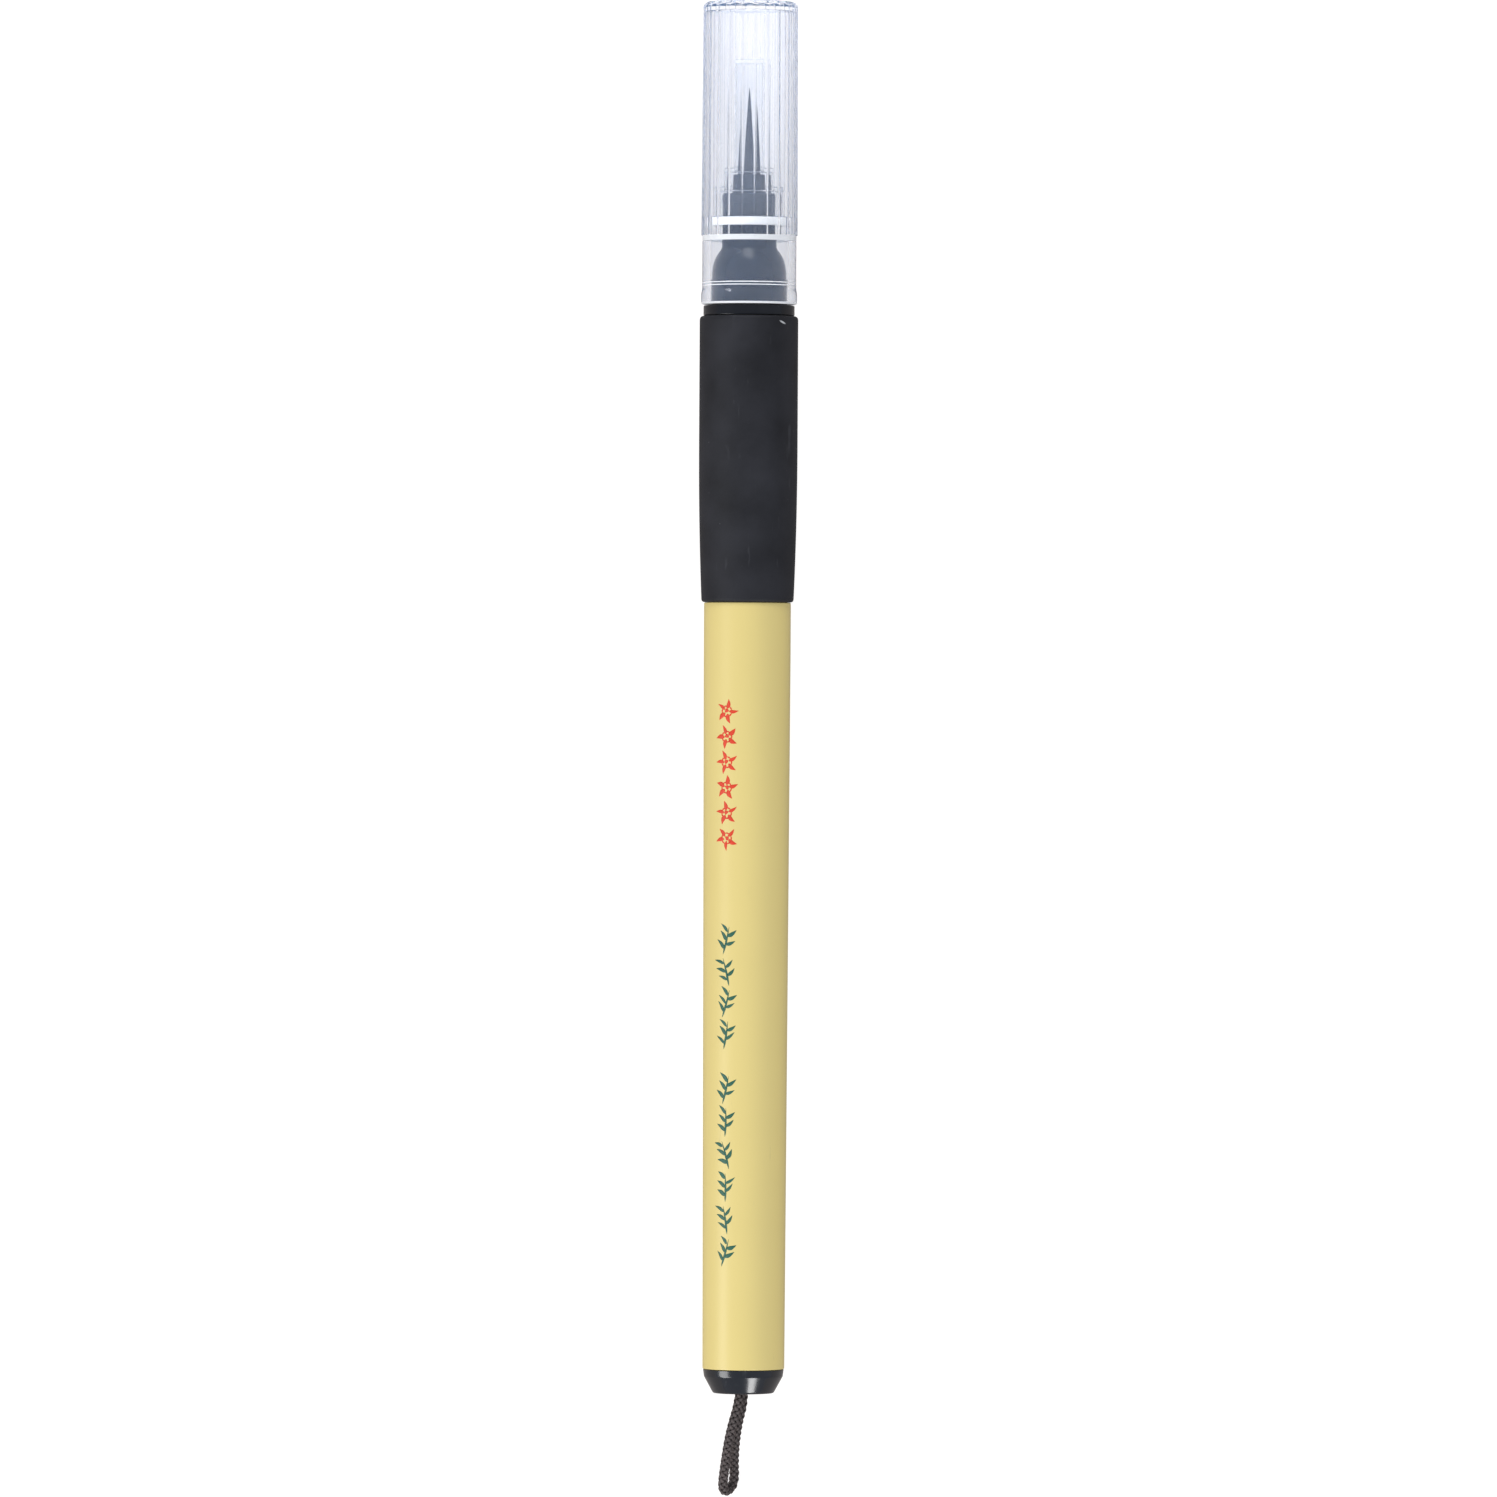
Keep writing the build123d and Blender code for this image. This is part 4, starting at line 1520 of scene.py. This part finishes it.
def make_lights():
    """Softbox on the left, another towards the tail, a weak wide one on the right and a pale room."""
    softbox("left_softbox", -60, -24, 0.66, 0.5, 6.1)
    softbox("tail_softbox", 36, -55, 0.34, 0.36, 12.0)
    softbox("head_softbox", -3, 62, 0.34, 0.3, 15.0)
    softbox("right_softbox", 60, 0, 0.8, 1.4, 0.1)
    world = bpy.data.worlds.new("studio")
    world.use_nodes = True
    net = Net(world.node_tree)
    sky, white = (0.84, 0.92, 1.06, 1), (1, 1, 1, 1)
    sky_strength = 0.45
    path = net.add("ShaderNodeLightPath").outputs
    seen = net.math("MAXIMUM", path["Is Camera Ray"], path["Is Transmission Ray"])
    background = world.node_tree.nodes["Background"]
    net.feed(background.inputs["Color"], mixed_colour(net, seen, sky, white))
    net.feed(background.inputs["Strength"], net.spread(seen, 0.0, 1.0, sky_strength, 1.0))
    bpy.context.scene.world = world


def make_floor():
    """Plain pale floor, lit from inside like a light table, mostly straight up."""
    reach = 4.0
    corners = [(-reach, -reach, 0), (reach, -reach, 0), (reach, reach, 0), (-reach, reach, 0)]
    floor = new_piece("floor", corners, [(0, 1, 2, 3)])
    material, net, shader = new_material(
        "pale_floor",
        Base_Color=(0.44, 0.4, 0.37, 1),
        Roughness=0.9,
        Specular_IOR_Level=0.1,
        Emission_Color=(1, 1, 1, 1),
    )
    seen_glow = 0.8
    path = net.add("ShaderNodeLightPath").outputs
    facing = net.add("ShaderNodeLayerWeight", {"Blend": 0.5}).outputs["Facing"]
    upward = net.spread(facing, 0.2, 0.9, 0.47, 0.6)
    through_cap = net.times(upward, path["Is Transmission Ray"])
    glow = net.math("MAXIMUM", net.times(path["Is Camera Ray"], seen_glow), through_cap)
    net.feed(shader.inputs["Emission Strength"], glow)
    floor.data.materials.append(material)


# ---- Operators ----


class PenOperator:
    """What every operator of the pen has in common."""

    bl_options = {"REGISTER", "UNDO"}


class BRUSHPEN_OT_stage(PenOperator, bpy.types.Operator):
    """Makes the camera, the floor and the soft lights"""

    bl_idname = "brushpen.stage"
    bl_label = "Stage"

    def execute(self, context):
        context.scene.view_settings.view_transform = "Standard"
        make_camera()
        make_floor()
        make_lights()
        return {"FINISHED"}


class BRUSHPEN_OT_cord(PenOperator, bpy.types.Operator):
    """Makes the braided hanging loop and its knot"""

    bl_idname = "brushpen.cord"
    bl_label = "Hanging Loop"

    def execute(self, context):
        make_cord()
        return {"FINISHED"}


class BRUSHPEN_OT_barrel(PenOperator, bpy.types.Operator):
    """Makes the barrel and its printed ornaments"""

    bl_idname = "brushpen.barrel"
    bl_label = "Barrel"

    def execute(self, context):
        fit(make_barrel(), "pen", "barrel_beige", "barrel_tube")
        fit(make_ornaments("upper_marks", UPPER_ROWS, colours().upper_marks, 3), "pen", None)
        fit(make_ornaments("lower_marks", LOWER_ROWS, colours().lower_marks, 8), "pen", None)
        return {"FINISHED"}


class BRUSHPEN_OT_grip(PenOperator, bpy.types.Operator):
    """Makes the rubber sleeve"""

    bl_idname = "brushpen.grip"
    bl_label = "Grip"

    def execute(self, context):
        fit(make_grip(), "pen", "grip_rubber", "grip_sleeve")
        return {"FINISHED"}


class BRUSHPEN_OT_plug(PenOperator, bpy.types.Operator):
    """Makes the tail plug"""

    bl_idname = "brushpen.plug"
    bl_label = "Tail Plug"

    def execute(self, context):
        fit(make_plug(), "pen", "plug_black", "tail_plug")
        return {"FINISHED"}


class BRUSHPEN_OT_nose(PenOperator, bpy.types.Operator):
    """Makes the nose, its collar and the ferrule"""

    bl_idname = "brushpen.nose"
    bl_label = "Nose"

    def execute(self, context):
        fit(make_nose(), "pen", "nose_black", "nose_section")
        fit(make_collar(), "pen", "nose_black", "tip_collar")
        fit(make_ferrule(), "pen", "nose_black", "tuft_ferrule")
        return {"FINISHED"}


class BRUSHPEN_OT_tuft(PenOperator, bpy.types.Operator):
    """Makes the bristles"""

    bl_idname = "brushpen.tuft"
    bl_label = "Tuft"

    def execute(self, context):
        fit(make_tuft(), "pen", "bristle", "bristle_tuft")
        return {"FINISHED"}


class BRUSHPEN_OT_inside(PenOperator, bpy.types.Operator):
    """Gives the parts inside the barrel their materials"""

    bl_idname = "brushpen.inside"
    bl_label = "Inside"

    def execute(self, context):
        holder = moulded_material("holder_plastic", (0.6, 0.6, 0.58), 0.4)
        materials = {
            "root_binding": fibre_material("binding_thread", (0.5, 0.47, 0.4), 3.0),
            "feed_rod": fibre_material("feed_fibre", (0.08, 0.08, 0.09), 0.05),
            "feed_holder": holder,
            "ink_wadding": fibre_material("wadding_fibre", colours().fibre, 0.1),
            "wadding_film": film_material(),
        }
        for name, material in materials.items():
            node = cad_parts[name]
            node.data.materials.clear()
            node.data.materials.append(material)
        return {"FINISHED"}


class BRUSHPEN_OT_cap(PenOperator, bpy.types.Operator):
    """Makes the clear fluted cap and its inner cup"""

    bl_idname = "brushpen.cap"
    bl_label = "Cap"

    def execute(self, context):
        fit(make_cap(), "cap", "cap_clear", "cap_shell")
        fit(make_inner_cup(), "cap", "cup_milky", "cap_inner_cup")
        return {"FINISHED"}


OPERATORS = [
    BRUSHPEN_OT_stage,
    BRUSHPEN_OT_cord,
    BRUSHPEN_OT_barrel,
    BRUSHPEN_OT_grip,
    BRUSHPEN_OT_plug,
    BRUSHPEN_OT_nose,
    BRUSHPEN_OT_tuft,
    BRUSHPEN_OT_inside,
    BRUSHPEN_OT_cap,
]


class BRUSHPEN_PT_panel(bpy.types.Panel):
    """Lists the pen's sizes, colours and pieces in the sidebar."""

    bl_label = "Brush Pen"
    bl_idname = "BRUSHPEN_PT_panel"
    bl_space_type = "VIEW_3D"
    bl_region_type = "UI"
    bl_category = "Brush Pen"

    def draw(self, context):
        for operator in OPERATORS:
            self.layout.operator(operator.bl_idname)
        for settings in (context.scene.brush_pen_sizes, context.scene.brush_pen_colours):
            box = self.layout.box()
            for name in settings.__annotations__:
                box.prop(settings, name)


CLASSES = [BrushPenSizes, BrushPenColours, *OPERATORS, BRUSHPEN_PT_panel]


def register():
    """Registers the pen's classes and its settings."""
    for cls in CLASSES:
        bpy.utils.register_class(cls)
    bpy.types.Scene.brush_pen_sizes = bpy.props.PointerProperty(type=BrushPenSizes)
    bpy.types.Scene.brush_pen_colours = bpy.props.PointerProperty(type=BrushPenColours)


def unregister():
    """Takes the pen's classes and its settings away again."""
    del bpy.types.Scene.brush_pen_colours
    del bpy.types.Scene.brush_pen_sizes
    for cls in reversed(CLASSES):
        bpy.utils.unregister_class(cls)


def main():
    """Registers the add-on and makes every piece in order."""
    register()
    for operator in OPERATORS:
        group, name = operator.bl_idname.split(".")
        getattr(getattr(bpy.ops, group), name)()


if __name__ == "__main__":
    main()
